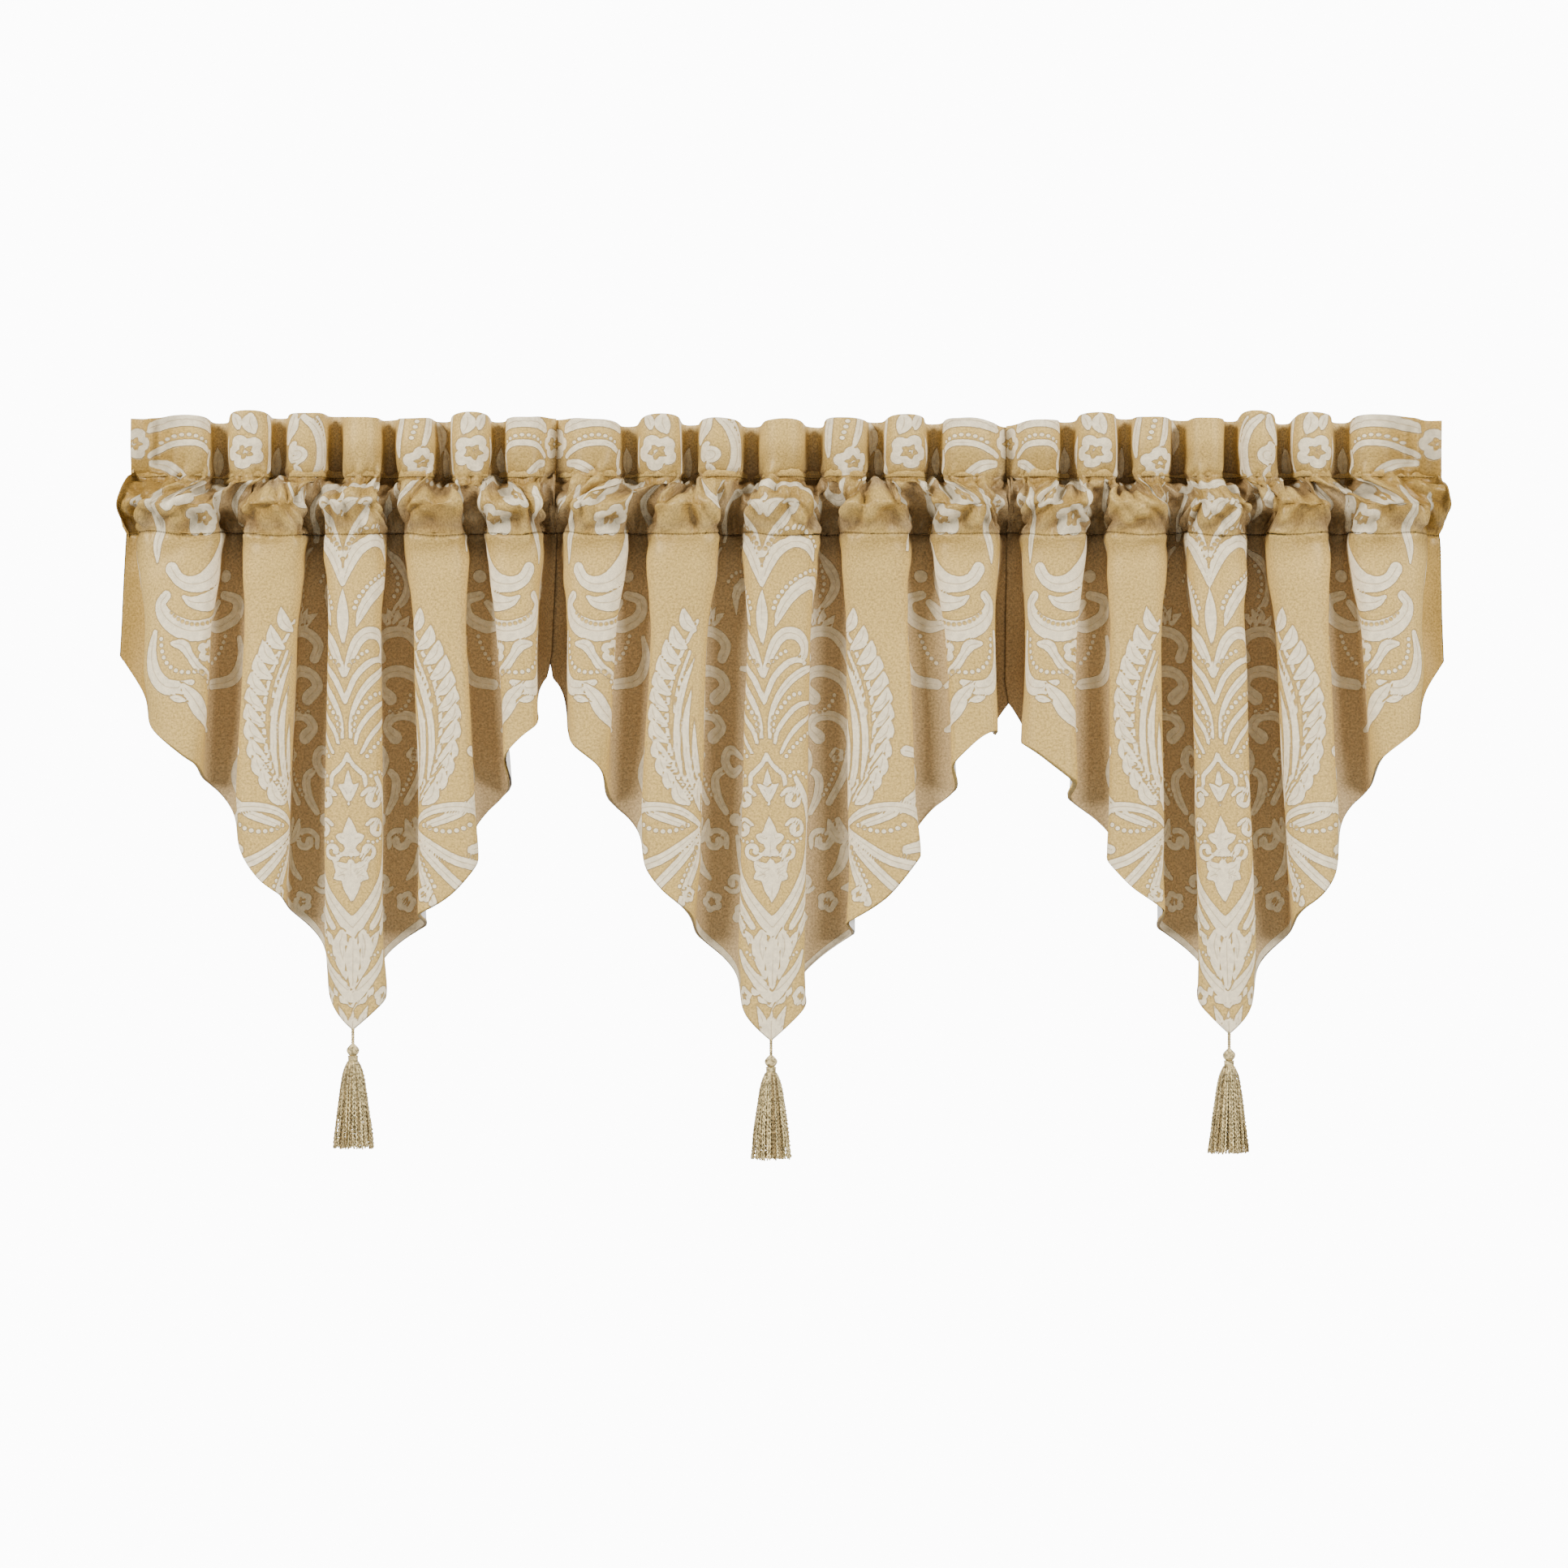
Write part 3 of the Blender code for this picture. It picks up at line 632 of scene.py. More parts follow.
class Drawing:
    """A drawn figure, as a list of strokes with the box that each one lies in."""

    def __init__(self):
        self.strokes, self.bead_rows, self.outlined = [], [], True

    def keep(self, box, measure):
        self.strokes.append((box, measure, -1.25 if self.outlined else 6.0))

    def band(self, *points, lobes=0.0, depth=0.45):
        """A band through (x, y, half width). Lobes are the pitch of its scalloped side."""
        line = through(points)
        reach = line[:, 2].max() + 7

        def measure(x, y):
            away, t, side, size = along_line(x, y, line)
            half = line[:-1, 2] + t * (line[1:, 2] - line[:-1, 2])
            if lobes:
                start = np.concatenate([[0], np.cumsum(size)[:-1]])
                wave = np.abs(np.sin(math.pi * (start + t * size) / abs(lobes)))
                cut = np.where(side * lobes > 0, depth * (1 - wave), 0)
                half = half * (1.12 - cut)
            row, k = np.arange(len(x)), (half - away).argmax(axis=1)
            return (half - away)[row, k], np.sign(side[row, k]) * away[row, k]

        low, high = line[:, :2].min(axis=0) - reach, line[:, :2].max(axis=0) + reach
        self.keep((low, high), measure)

    def leaf(self, x0, y0, x1, y1, half, bow=0.0):
        """A pointed leaf from its root to its tip."""
        dx, dy = x1 - x0, y1 - y0
        mx, my = x0 + 0.45 * dx - bow * dy, y0 + 0.45 * dy + bow * dx
        self.band((x0, y0, half * 0.35), (mx, my, half), (x1, y1, 0.3))

    def disc(self, x0, y0, radius):
        low, high = np.array([x0, y0]) - radius - 7, np.array([x0, y0]) + radius + 7
        self.keep((low, high), lambda x, y: (radius - np.hypot(x - x0, y - y0), 6 + 0 * x))

    def flower(self, x0, y0, radius, turn=0.0, petals=5):
        """Round petals about a small star."""

        def measure(x, y):
            far, angle = np.hypot(x - x0, y - y0), np.arctan2(y - y0, x - x0) + turn
            petal = np.abs(np.cos(angle * petals / 2))
            edge = radius * (0.66 + 0.34 * petal**0.55) - far
            star = 0.16 + 0.22 * (1 - np.abs(np.cos(angle * petals / 2 + math.pi / 2)))
            ring = np.abs(far - 0.22 * radius) - radius * (star - 0.12)
            return np.minimum(edge, np.where(far < 0.55 * radius, ring, edge)), 6 + 0 * x

        low, high = np.array([x0, y0]) - radius - 7, np.array([x0, y0]) + radius + 7
        self.keep((low, high), measure)

    def curl(self, x0, y0, radius, start, turns, half):
        """A scroll that winds in to a knob."""
        points = []
        for share in np.linspace(0, 1, 9):
            angle = math.radians(start) + 2 * math.pi * turns * share
            far = radius * (1 - 0.72 * share)
            points.append(
                (
                    x0 + far * math.cos(angle),
                    y0 + far * math.sin(angle),
                    half * (0.7 + 0.5 * share),
                )
            )
        self.band(*points)

    def beads(self, *points, pitch=6.5):
        """A row of beads, one every pitch."""
        self.bead_rows.append((through(points), pitch))

    def depth_inside(self, x, y):
        """How far inside the figure each point lies and how far off its vein, to 6 millimetres."""
        inside, vein = np.full(len(x), -6.0), np.full(len(x), 6.0)
        for (low, high), measure, gap in self.strokes:
            near = np.nonzero(
                (x > low[0]) & (x < high[0]) & (y > low[1]) & (y < high[1])
            )[0]
            if not len(near):
                continue
            depth, off = measure(x[near], y[near])
            over = depth > np.minimum(inside[near], gap)
            inside[near[over]] = depth[over]
            vein[near[over]] = off[over]
        return np.stack([np.clip(inside, -6, 6), np.clip(vein, -6, 6)], axis=1)

    def bead_places(self, x, y):
        """Along and off the nearest row of beads, counted in beads, with the room to its ends."""
        places, best = np.zeros((len(x), 4)), np.full(len(x), 9.0)
        for line, pitch in self.bead_rows:
            low, high = line.min(axis=0) - 8, line.max(axis=0) + 8
            near = np.nonzero(
                (x > low[0]) & (x < high[0]) & (y > low[1]) & (y < high[1])
            )[0]
            if not len(near):
                continue
            away, t, side, size = along_line(x[near], y[near], line)
            row, k = np.arange(len(near)), away.argmin(axis=1)
            start = np.concatenate([[0], np.cumsum(size)])
            count = max(1, round(start[-1] / pitch))
            step = start[-1] / count
            run = start[k] + t[row, k] * size[k]
            off = side[row, k] / size[k]
            beyond = np.sqrt(np.maximum(away[row, k] ** 2 - off**2, 0))
            run = run + np.where(k == 0, -beyond, beyond)
            closer = (away[row, k] < best[near]) & (away[row, k] < 7)
            at = near[closer]
            best[at] = away[row, k][closer]
            room = np.minimum(run, start[-1] - run)
            values = np.stack([run / step, off / step, room / step], axis=1)
            places[at, :3] = values[closer]
            places[at, 3] = 1.0
        return places


# %% [markdown]
# The main figure is mirrored about the panel's middle line. The first column is that middle line,
# with its acanthus pairs, sheaves and medallion. Distances are from the middle line and down from
# the lower seam.

# %% Middle column
damask = Drawing()
damask.beads((2, 19), (7, 11), (13, 2), (22, -6), (33, -9), (46, -4), (55, 6), (60, 16))
damask.band(
    (0, 54, 2.5), (7, 34, 5.5), (17, 17, 7), (33, 7, 7), (49, 12, 6), (58, 30, 1.5), lobes=9,
)
damask.beads(
    (12, 82), (14, 73), (19, 65), (27, 56), (36, 49), (46, 43), (58, 39), (70, 42), (77, 52),
)
damask.band(
    (14, 98, 1), (19, 84, 4.5), (28, 69, 6), (41, 57, 7), (56, 52, 6.5), (66, 62, 5), (66, 84, 1),
    lobes=8,
)
damask.band((0, 59, 0.8), (0, 75, 5), (0, 88, 6.5), (0, 102, 5), (0, 118, 0.8))
damask.band(
    (1, 150, 2), (5, 136, 4), (11, 121, 5.6), (17, 111, 6.2), (26, 105, 6.6), (38, 107, 6.6),
    (46, 117, 6), (45, 128, 5), (39, 132, 4),
)
damask.beads((4, 141), (8, 136), (14, 131), (20, 126), (27, 123))
damask.band((0, 178, 2), (5, 164, 3), (12, 150, 3.3), (25, 137, 3.6), (37, 133, 3), (50, 138, 1.5))
damask.band(
    (4, 214, 2), (6, 193, 2.6), (15, 171, 3.6), (29, 154, 4.4), (45, 144, 4.4), (60, 141, 3),
)
damask.beads((8, 210), (8, 200), (10, 192), (16, 184), (22, 177), (30, 170), (42, 167))
damask.band((9, 220, 2), (13, 206, 2.6), (25, 190, 3), (38, 180, 3), (56, 177, 2))
damask.band((15, 230, 2), (25, 213, 2.6), (38, 200, 3), (56, 190, 2))
damask.beads((19, 236), (25, 228), (32, 221), (41, 214), (52, 208))
damask.band((0, 231, 2), (4, 240, 2.4), (10, 247, 2.8), (17, 254, 2.8), (18, 263, 2.4))
damask.leaf(0, 284, 0, 245, 5)
damask.leaf(1, 280, 12, 261, 4.5, -0.15)
damask.beads((22, 256), (29, 250), (38, 251), (46, 257), pitch=5.5)
damask.curl(25, 278, 12, 200, 1.1, 3.2)
damask.curl(28, 309, 11, 200, 1.1, 3.0)
damask.curl(18, 332, 10, 160, -1.0, 2.8)
damask.beads((16, 322), (26, 323), (36, 318), pitch=5.5)
damask.outlined = False
damask.leaf(0, 336, 0, 295, 8)
damask.leaf(0, 322, 15, 316, 6)
damask.leaf(0, 332, 9, 337, 4)
damask.leaf(0, 344, 0, 387, 10)
damask.leaf(0, 350, 18, 343, 6.5, 0.2)
damask.leaf(0, 360, 19, 362, 6.5, -0.2)
damask.outlined = True
damask.band(
    (30, 256, 3), (43, 283, 4.6), (47, 312, 5), (41, 344, 5.2), (27, 375, 5.6), (12, 398, 7),
    (0, 413, 9.5),
)
damask.band(
    (52, 262, 3), (62, 296, 4.4), (61, 330, 4.6), (50, 362, 4.8), (34, 390, 4.4), (20, 412, 3.2),
)
damask.beads((58, 356), (50, 376), (38, 396), pitch=5.5)
damask.band(
    (68, 318, 3), (62, 352, 4.2), (48, 384, 4.4), (31, 413, 4.2), (17, 436, 3.2), (12, 450, 1.5),
)
damask.flower(31, 484, 11, 0.3)
damask.flower(62, 400, 13, 0.9)
damask.leaf(44, 470, 42, 440, 6, 0.1)
for x, y in ((16, 478), (9, 486), (0, 490)):
    damask.disc(x, y, 6)
damask.band((34, 436, 2), (27, 452, 4), (17, 466, 5.4), (7, 476, 8), (0, 480, 11))
damask.leaf(20, 438, 29, 414, 4.5, -0.1)
damask.beads((18, 446), (23, 440), (28, 437), pitch=5)
damask.band(
    (10, 418, 4), (13, 432, 7.5), (9, 448, 7.5), (3, 464, 5), (0, 476, 2), lobes=-8, depth=0.3,
)
damask.band((0, 426, 4), (0, 442, 8), (0, 458, 6), (0, 474, 3))
damask.leaf(0, 528, 0, 499, 5)
damask.leaf(9, 532, 16, 492, 5, -0.1)
damask.band((0, 514, 7), (0, 524, 12), (0, 542, 13))
print("middle column", len(damask.strokes), "strokes")

# %% Scrolls in the hollows beside it
damask.band((86, 14, 1.8), (106, 30, 5.4), (117, 50, 6), (110, 68, 4.8), (98, 80, 2.4))
damask.beads((96, 30), (103, 42), (104, 56), (98, 68))
for x, y in ((78, 82), (90, 76), (103, 77), (116, 84)):
    damask.leaf(97, 100, x, y, 5, 0.1)
damask.band((82, 130, 6), (78, 116, 6), (90, 104, 6), (110, 103, 6), (124, 117, 6), (131, 142, 1.8))
damask.band(
    (90, 172, 7.8), (79, 160, 6.7), (86, 147, 6), (105, 144, 6.6), (124, 156, 6), (132, 182, 5.3),
    (134, 214, 2.9),
)
damask.beads((86, 186), (98, 186), (108, 178), (113, 166))
damask.band(
    (93, 213, 7.8), (84, 203, 6), (92, 192, 5.5), (110, 191, 5.5), (124, 202, 5.5), (128, 222, 5),
    (120, 250, 5), (101, 282, 3.6),
)
damask.beads((113, 225), (111, 243), (104, 260), (94, 276))
damask.band((80, 246, 3.6), (91, 256, 5), (89, 275, 5), (80, 292, 3.6))
damask.curl(92, 322, 14, 150, 1.1, 3.8)
damask.band((110, 300, 3.6), (118, 322, 6), (112, 346, 6), (98, 362, 2.4))
damask.band((60, 236, 2.4), (74, 226, 4.8), (80, 238, 5.3), (72, 252, 4.8), (64, 246, 4.1))
damask.beads((126, 262), (130, 284), (126, 304))
damask.leaf(100, 300, 124, 326, 6, 0.2)
damask.leaf(128, 300, 138, 270, 6, 0.15)
damask.flower(112, 232, 9, 0.6)
damask.disc(70, 300, 7)
damask.curl(72, 366, 11, 30, 1.0, 3.4)
damask.flower(96, 386, 12)
damask.leaf(112, 372, 134, 356, 6, 0.2)
print("hollow scrolls", len(damask.strokes), "strokes")

# %% Laurel crescent and hem fan on the second folds
STEM = [(150, 92), (167, 122), (179, 154), (184, 187), (182, 220), (174, 252), (157, 280)]
damask.band(*[(x, y, 2.3) for x, y in STEM])
damask.band(*[(x - 8, y + 2, 2.0) for x, y in STEM[1:]])
stem_line = through(STEM)
for share in np.linspace(0.03, 0.98, 12):
    x, y = stem_line[round(share * (len(stem_line) - 1))]
    damask.leaf(x + 1, y + 6, x + 16, y - 19, 7.4, 0.18)
for off, first, last, half in ((-15, 1, 6, 3.6), (-23, 2, 7, 3.8), (-31, 3, 7, 3.6)):
    bent = [[x + off + 2 * i, y + 6, half] for i, (x, y) in enumerate(STEM[first:last])]
    bent[0][2], bent[-1][2] = 0.6, 1.4
    damask.band(*bent)
damask.leaf(146, 290, 146, 250, 5, 0.1)
damask.band(
    (213, 228, 6), (225, 233, 5.2), (231, 250, 5.2), (225, 268, 5.4), (208, 284, 5.4),
    (190, 296, 5), (166, 305, 4),
)
damask.band((144, 318, 3), (151, 342, 4.6), (160, 366, 5.2), (167, 386, 4.8))
damask.beads((150, 326), (159, 348), (171, 372))
damask.band((146, 314, 3), (164, 337, 4.8), (183, 358, 5.4), (200, 376, 5))
damask.band((147, 310, 3), (170, 328, 4.8), (192, 342, 5.6), (216, 350, 5.8))
damask.band(
    (146, 305, 3), (168, 291, 4.4), (196, 286, 5), (217, 292, 5.6), (227, 309, 6.2),
    (222, 325, 6.2), (207, 331, 5),
)
damask.beads((158, 304), (172, 310), (187, 312), (200, 309), (209, 303))
damask.leaf(138, 316, 138, 374, 7, 0.1)
damask.flower(158, 378, 9, 0.2)
print("laurel", len(damask.strokes), "strokes")

# %% Hooks, crescents and drops on the outer folds
damask.band((372, -46, 3), (352, -28, 5), (349, -6, 6), (353, 14, 5.4), (352, 32, 1.5))
damask.band(
    (314, -58, 5), (292, -52, 8), (280, -34, 8), (277, -10, 6.5), (278, 12, 8.5), (284, 34, 11.5),
    (297, 50, 10.5), (312, 54, 8.4), (325, 49, 7), (334, 38, 7.4),
)
damask.band((272, 40, 4), (280, 60, 9), (295, 72, 10), (310, 73, 6), (320, 67, 2))
damask.band(
    (262, 72, 4), (274, 86, 7.5), (290, 98, 10), (308, 103, 11), (326, 98, 10.5), (340, 87, 8.6),
    (345, 75, 6.4), (339, 66, 5.6),
)
damask.beads((276, 82), (290, 92), (306, 96), (322, 92), (334, 82), pitch=5.0)
damask.band(
    (330, 116, 3), (319, 118, 6), (312, 128, 4.4), (303, 141, 4.6), (290, 150, 4.4), (272, 160, 3),
)
damask.flower(292, 124, 13, 0.5)
damask.beads(
    (343, 108), (342, 122), (337, 135), (326, 144), (312, 146), (301, 145), (293, 154), (286, 168),
    (276, 180),
)
damask.band(
    (350, 104, 3), (354, 126, 6), (350, 146, 8), (338, 160, 8.8), (322, 162, 7.4), (309, 156, 3),
)
damask.band((318, 160, 3), (308, 172, 7.4), (298, 188, 8), (284, 200, 6.4), (268, 206, 3))
damask.leaf(331, 172, 313, 176, 4)
damask.disc(256, 44, 7)
damask.band((272, 96, 5), (258, 97, 7), (241, 86, 7), (240, 70, 6), (255, 64, 5))
damask.beads((250, 104), (252, 114), (257, 127), (266, 138))
damask.band((236, 108, 2.5), (232, 130, 5), (240, 152, 6.5), (262, 158, 6))
damask.band((392, 20, 2), (384, 52, 6), (392, 84, 6), (410, 104, 3))
damask.beads((380, 96), (376, 112), (384, 128))
damask.flower(402, 60, 11, 0.3)
damask.flower(330, -40, 17)
damask.flower(303, -13, 16, 0.4)
damask.leaf(288, -22, 276, -52, 8, 0.1)
print("outer folds", len(damask.strokes), "strokes")

# %% The pocket's figures near the middle
damask.band((2, -50, 3.6), (24, -52, 3.6), (44, -46, 4), (64, -34, 4.6), (78, -16, 4.6), (82, 6, 3))
damask.leaf(0, -16, 0, -44, 5.5)
damask.leaf(3, -18, 17, -36, 5.5, -0.2)
damask.curl(24, -29, 8, 180, 0.9, 3.0)
damask.band((2, 24, 2.4), (8, 6, 4.4), (17, -10, 4.6), (24, -22, 3))
damask.band((110, -56, 2), (117, -40, 5), (130, -31, 6), (145, -37, 4.6), (152, -56, 2))
damask.beads((165, -55), (205, -55))
damask.leaf(96, -12, 100, -44, 6, 0.2)
damask.band((232, -56, 4), (238, -30, 5), (230, -6, 4), (222, 18, 2))
damask.flower(398, -30, 12, 0.2)
print("pocket", len(damask.strokes), "strokes and", len(damask.bead_rows), "bead rows")

# %% [markdown]
# The header is folded more tightly than the drop, so each of its crests gets its own small
# figure, in millimetres across from that crest and up from the header's seam.


# %% Figures of the header's crests
def fan_crest():
    """An arch with beads over it, below a scalloped fan."""
    drawn = Drawing()
    drawn.band((-30, 22, 3), (-14, 33, 3.4), (0, 36, 3.6), (12, 34, 3.4), (26, 23, 3))
    drawn.beads((-22, 35), (-9, 43), (5, 44), (20, 36), pitch=5.6)
    drawn.band((-30, 52, 5), (-12, 59, 6.5), (6, 60, 6.5), (30, 52, 5), lobes=-7)
    drawn.band((27, 26, 4), (23, 14, 3.6), (29, 2, 3.4))
    drawn.band((-27, 14, 4), (-16, 12, 5.6), (-6, 3, 5), (-2, -4, 3))
    drawn.flower(-46, 36, 17)
    drawn.leaf(46, 4, 46, 34, 6)
    return drawn


def flower_crest():
    """A large flower under teardrops, with a bead row at its side."""
    drawn = Drawing()
    drawn.flower(-3, 26, 19, 0.5)
    drawn.leaf(-14, 66, -8, 48, 5.4, 0.1)
    drawn.leaf(2, 66, 6, 44, 7, -0.1)
    drawn.band((22, 64, 3), (27, 44, 5), (29, 22, 5), (24, 4, 4))
    drawn.leaf(-30, 10, -22, 46, 5, 0.1)
    drawn.leaf(46, 0, 48, 34, 7, 0.1)
    drawn.leaf(56, 18, 54, 58, 6, -0.1)
    return drawn


def stripe_crest():
    """Two long blades that sweep down to a small twist."""
    drawn = Drawing()
    drawn.band((-10, 64, 4), (-14, 52, 7), (-24, 40, 7))
    drawn.curl(-9, 24, 11, 100, 1.0, 4.6)
    drawn.band((-2, 64, 3.4), (8, 52, 5), (15, 34, 6.6), (15, 14, 7), (8, -4, 5))
    drawn.band((9, 64, 1.6), (19, 48, 2.2), (24, 28, 2.4), (22, 4, 2))
    drawn.leaf(-6, -2, -12, 14, 5)
    return drawn


def posy_crest():
    """A flower between two blades and a short bead row."""
    drawn = Drawing()
    drawn.flower(7, 14, 18, 0.9)
    drawn.band((-12, 64, 3), (-16, 48, 5.4), (-18, 34, 6), (-16, 22, 3))
    drawn.band((16, 64, 5), (13, 50, 4.4), (8, 34, 2.4))
    drawn.beads((3, 62), (0, 50), (-3, 38), pitch=5.6)
    drawn.leaf(42, 60, 44, 22, 6, 0.1)
    return drawn


CRESTS = {
    "fan": fan_crest(),
    "flower": flower_crest(),
    "stripe": stripe_crest(),
    "posy": posy_crest(),
    "plain": Drawing(),
}
HEADER_PLAN = {
    "left": "fan flower stripe plain posy flower- fan-",
    "centre": "fan flower stripe plain posy flower- fan-",
    "right": "fan flower posy plain stripe- flower- fan-",
}
print("header crests", HEADER_PLAN["centre"])


# %% The whole figure on one panel
def middle_line(v):
    """How far the figure's middle line lies left of the panel's, in millimetres."""
    return -22.0 * (1 - smooth(v / 480))


def spread_out(off, v):
    """Widens the pocket's figures about each crest, where the bunched cloth narrows them."""
    pull = 0.36 * smooth(-v / 24)
    crest = np.select([off < 92, off < 252], [0.0, 183.0], 318.0)
    room = np.select([off < 92, off < 183, off < 252, off < 318], [92, 91, 69, 66], 122.0)
    share = (off - crest) / room
    return crest + room * share * (1 - pull * (1 - share * share))


def figure_on(name, panel, u, v):
    """Depth inside the figure and bead places, at flat places in millimetres."""
    shift = middle_line(v) * np.exp(-((u / 220) ** 2))
    if name == "right":
        shift = shift * 0.35
    if name == "left":
        shift = shift * 0.6
    from_middle = spread_out(np.abs(u - shift), v)
    drawn = damask.depth_inside(from_middle, v)
    places = damask.bead_places(from_middle, v)
    hem = drop_length(panel, u / 1000) * 1000 - v
    edge = 4.6 - np.abs(hem - 5.6)
    edge = np.where((from_middle > 44) & (from_middle < 128) & (v > 200), edge, -6)
    drawn[:, 0] = np.maximum(drawn[:, 0], np.clip(edge, -6, 6))
    high = v < -POCKET_MM
    drawn[high], places[high] = (-6, 6), 0
    pitch = 2000 * HALF / 7
    for number, kind in enumerate(HEADER_PLAN[name].split()):
        crest = (number + 0.5) * pitch - 1000 * HALF
        mine = high & (np.abs(u - crest) <= pitch / 2 + 4)
        way = -1 if kind.endswith("-") else 1
        small = CRESTS[kind.rstrip("-")]
        x, y = 0.78 * way * (u[mine] - crest), -POCKET_MM - v[mine]
        here = small.depth_inside(x, y)
        drawn[mine] = np.where(here[:, :1] > drawn[mine][:, :1], here, drawn[mine])
        beads = small.bead_places(x, y)
        places[mine] = np.where(beads[:, 3:] > 0, beads, places[mine])
    return drawn, places


# %% [markdown]
# Now the cloth itself. It is one sheet for each panel, as it is sewn: up the drop, over the front
# of the pocket and the header, over the top, and down behind to the lower seam. Its hems are
# turned back by three millimetres. A sheet of rows and columns is the natural way to make a
# hanging cloth in code, since each point's place is a sum of the fold, the offset and the
# creases.

# %% Rows and columns of the cloth
TURNED = (0.0034, 0.0020, 0.0006)


def cloth_columns(count):
    """Places across the flat cloth with its turned sides, and which columns are turned back."""
    flat = np.linspace(-HALF, HALF, count)
    left = [-HALF + t for t in TURNED]
    right = [HALF - t for t in reversed(TURNED)]
    back = np.concatenate([np.ones(3), np.zeros(count), np.ones(3)])
    return np.concatenate([left, flat, right]), back


def heading_rows(pocket, header, behind):
    """Rows from the lower seam up the front, over the top and down the back: zone, share, side."""
    front = [("pocket", s, 1) for s in np.linspace(0, 1, pocket, endpoint=False)]
    front += [("header", s, 1) for s in np.linspace(0, 1, header)]
    over = [("top", a, 0) for a in (35, 65, 90, 115, 145)]
    back = [("header", s, -1) for s in np.linspace(1, 0, behind, endpoint=False)]
    back += [("pocket", s, -1) for s in np.linspace(1, 0, behind)]
    return front, over, back


def panel_grid(panel, flat, back, drop_rows, heading):
    """Points of a panel's cloth, with how far down the flat cloth each row lies."""
    points, downs = [], []
    length = drop_length(panel, flat)
    shares = [(1 - t / length, 1.0) for t in TURNED]
    shares += [(np.full(len(flat), s), 0.0) for s in np.linspace(1, 0, drop_rows)]
    for share, turned in shares:
        x, y = drop_section(panel, flat, share)
        nx, ny = facing(x, y)
        offset = np.where(np.maximum(back, turned) > 0, -0.0003, 0.0010)
        z = DROP_SEAM - share * length
        points.append((x + offset * nx, y + offset * ny, z))
        downs.append(share * length)
    for zone, share, side in heading:
        top_x, top_y, top = header_section(panel, flat)
        if zone == "pocket":
            x, y, z = pocket_row(panel, flat, share, side)
            down = -share * (HEADER_SEAM - DROP_SEAM)
            offset = side * 0.0010
        elif zone == "header":
            x, y, z = top_x, top_y, HEADER_SEAM + share * (top - 0.0016 - HEADER_SEAM)
            down = -POCKET_TALL - share * (top - HEADER_SEAM)
            offset = side * (0.0010 + 0.0008 * math.sin(math.pi * share))
        else:
            angle = math.radians(share)
            x, y = top_x, top_y
            z = top - 0.0016 + 0.0016 * math.sin(angle)
            down = -POCKET_TALL - (top - HEADER_SEAM) - 0.0001 * share / 9
            offset = 0.0010 * math.cos(angle)
        if side < 0:
            down = -HEADING_CLOTH - down
        nx, ny = facing(x, y)
        offset = np.where(back > 0, offset * 0.3, offset)
        points.append((x + offset * nx, y + offset * ny, z + 0 * x))
        downs.append(down + 0 * x)
    grid = np.stack([np.stack(row, axis=1) for row in points])
    return grid, np.stack(downs)


def crease(grid, flat, down, name):
    """Adds the creases along the cloth's own normals, and the wandering seams."""
    seed = SEEDS[name]
    across, along = np.gradient(grid, axis=1), np.gradient(grid, axis=0)
    normal = np.cross(across, along)
    normal /= np.maximum(np.linalg.norm(normal, axis=2, keepdims=True), 1e-9)
    u, v = np.broadcast_to(flat * 1000, down.shape), down * 1000
    calm = smooth((HALF * 1000 - np.abs(u)) / 12)
    height = crease_height(u, v, seed) * (0.35 + 0.65 * calm) / 1000
    moved = grid + height[:, :, None] * normal
    # Crease heights of the gathered zone, kept for the painted shade of their valleys
    folds = height * 1000 * smooth((v + 105) / 25) * smooth((34 - v) / 30)
    moved[:, :, 1] += end_furrow(name, u, v) / 1000
    moved[:, :, 2] += seam_wave(u, v, seed) / 1000
    return moved, folds


def tuck_sides(grid, flat, down, name):
    """Laps the panels' neighbouring side edges over each other, so that no slit shows."""
    laps = {
        "left": ((1, -0.0016, 122),),
        "centre": ((-1, 0.0016, 122), (1, 0.0016, 150)),
        "right": ((-1, -0.0016, 150),),
    }
    for way, depth, until in laps[name]:
        near = smooth((way * flat * 1000 - 400) / 40)
        hold = 1 - smooth((down * 1000 - until) / 40)
        grid[:, :, 0] += way * 0.0052 * near * hold
        grid[:, :, 1] += depth * near * hold
    return grid


print("cloth rows and columns ready")


# %% From a grid of points to a piece
def grid_piece(name, grid):
    """A sheet through a grid of points, with its front outwards."""
    rows, columns, _ = grid.shape
    mesh = bpy.data.meshes.new(name)
    corner = (np.arange(rows - 1)[:, None] * columns + np.arange(columns - 1)).ravel()
    quads = np.stack([corner, corner + 1, corner + columns + 1, corner + columns], axis=1)
    mesh.vertices.add(rows * columns)
    mesh.vertices.foreach_set("co", grid.reshape(-1).astype(np.float32))
    mesh.loops.add(quads.size)
    mesh.loops.foreach_set("vertex_index", quads.ravel().astype(np.int32))
    mesh.polygons.add(len(quads))
    mesh.polygons.foreach_set("loop_start", np.arange(0, quads.size, 4, dtype=np.int32))
    mesh.update(calc_edges=True)
    mesh.validate()
    mesh.shade_smooth()
    piece = bpy.data.objects.new(name, mesh)
    bpy.context.scene.collection.objects.link(piece)
    return piece


def set_map(piece, u, v):
    """Lays the piece's UV map as the flat cloth, in metres."""
    mesh = piece.data
    layer = mesh.uv_layers.new(name="cloth")
    index = np.empty(len(mesh.loops), dtype=np.int32)
    mesh.loops.foreach_get("vertex_index", index)
    flat = np.stack([u.ravel()[index], v.ravel()[index]], axis=1)
    layer.data.foreach_set("uv", flat.ravel().astype(np.float32))


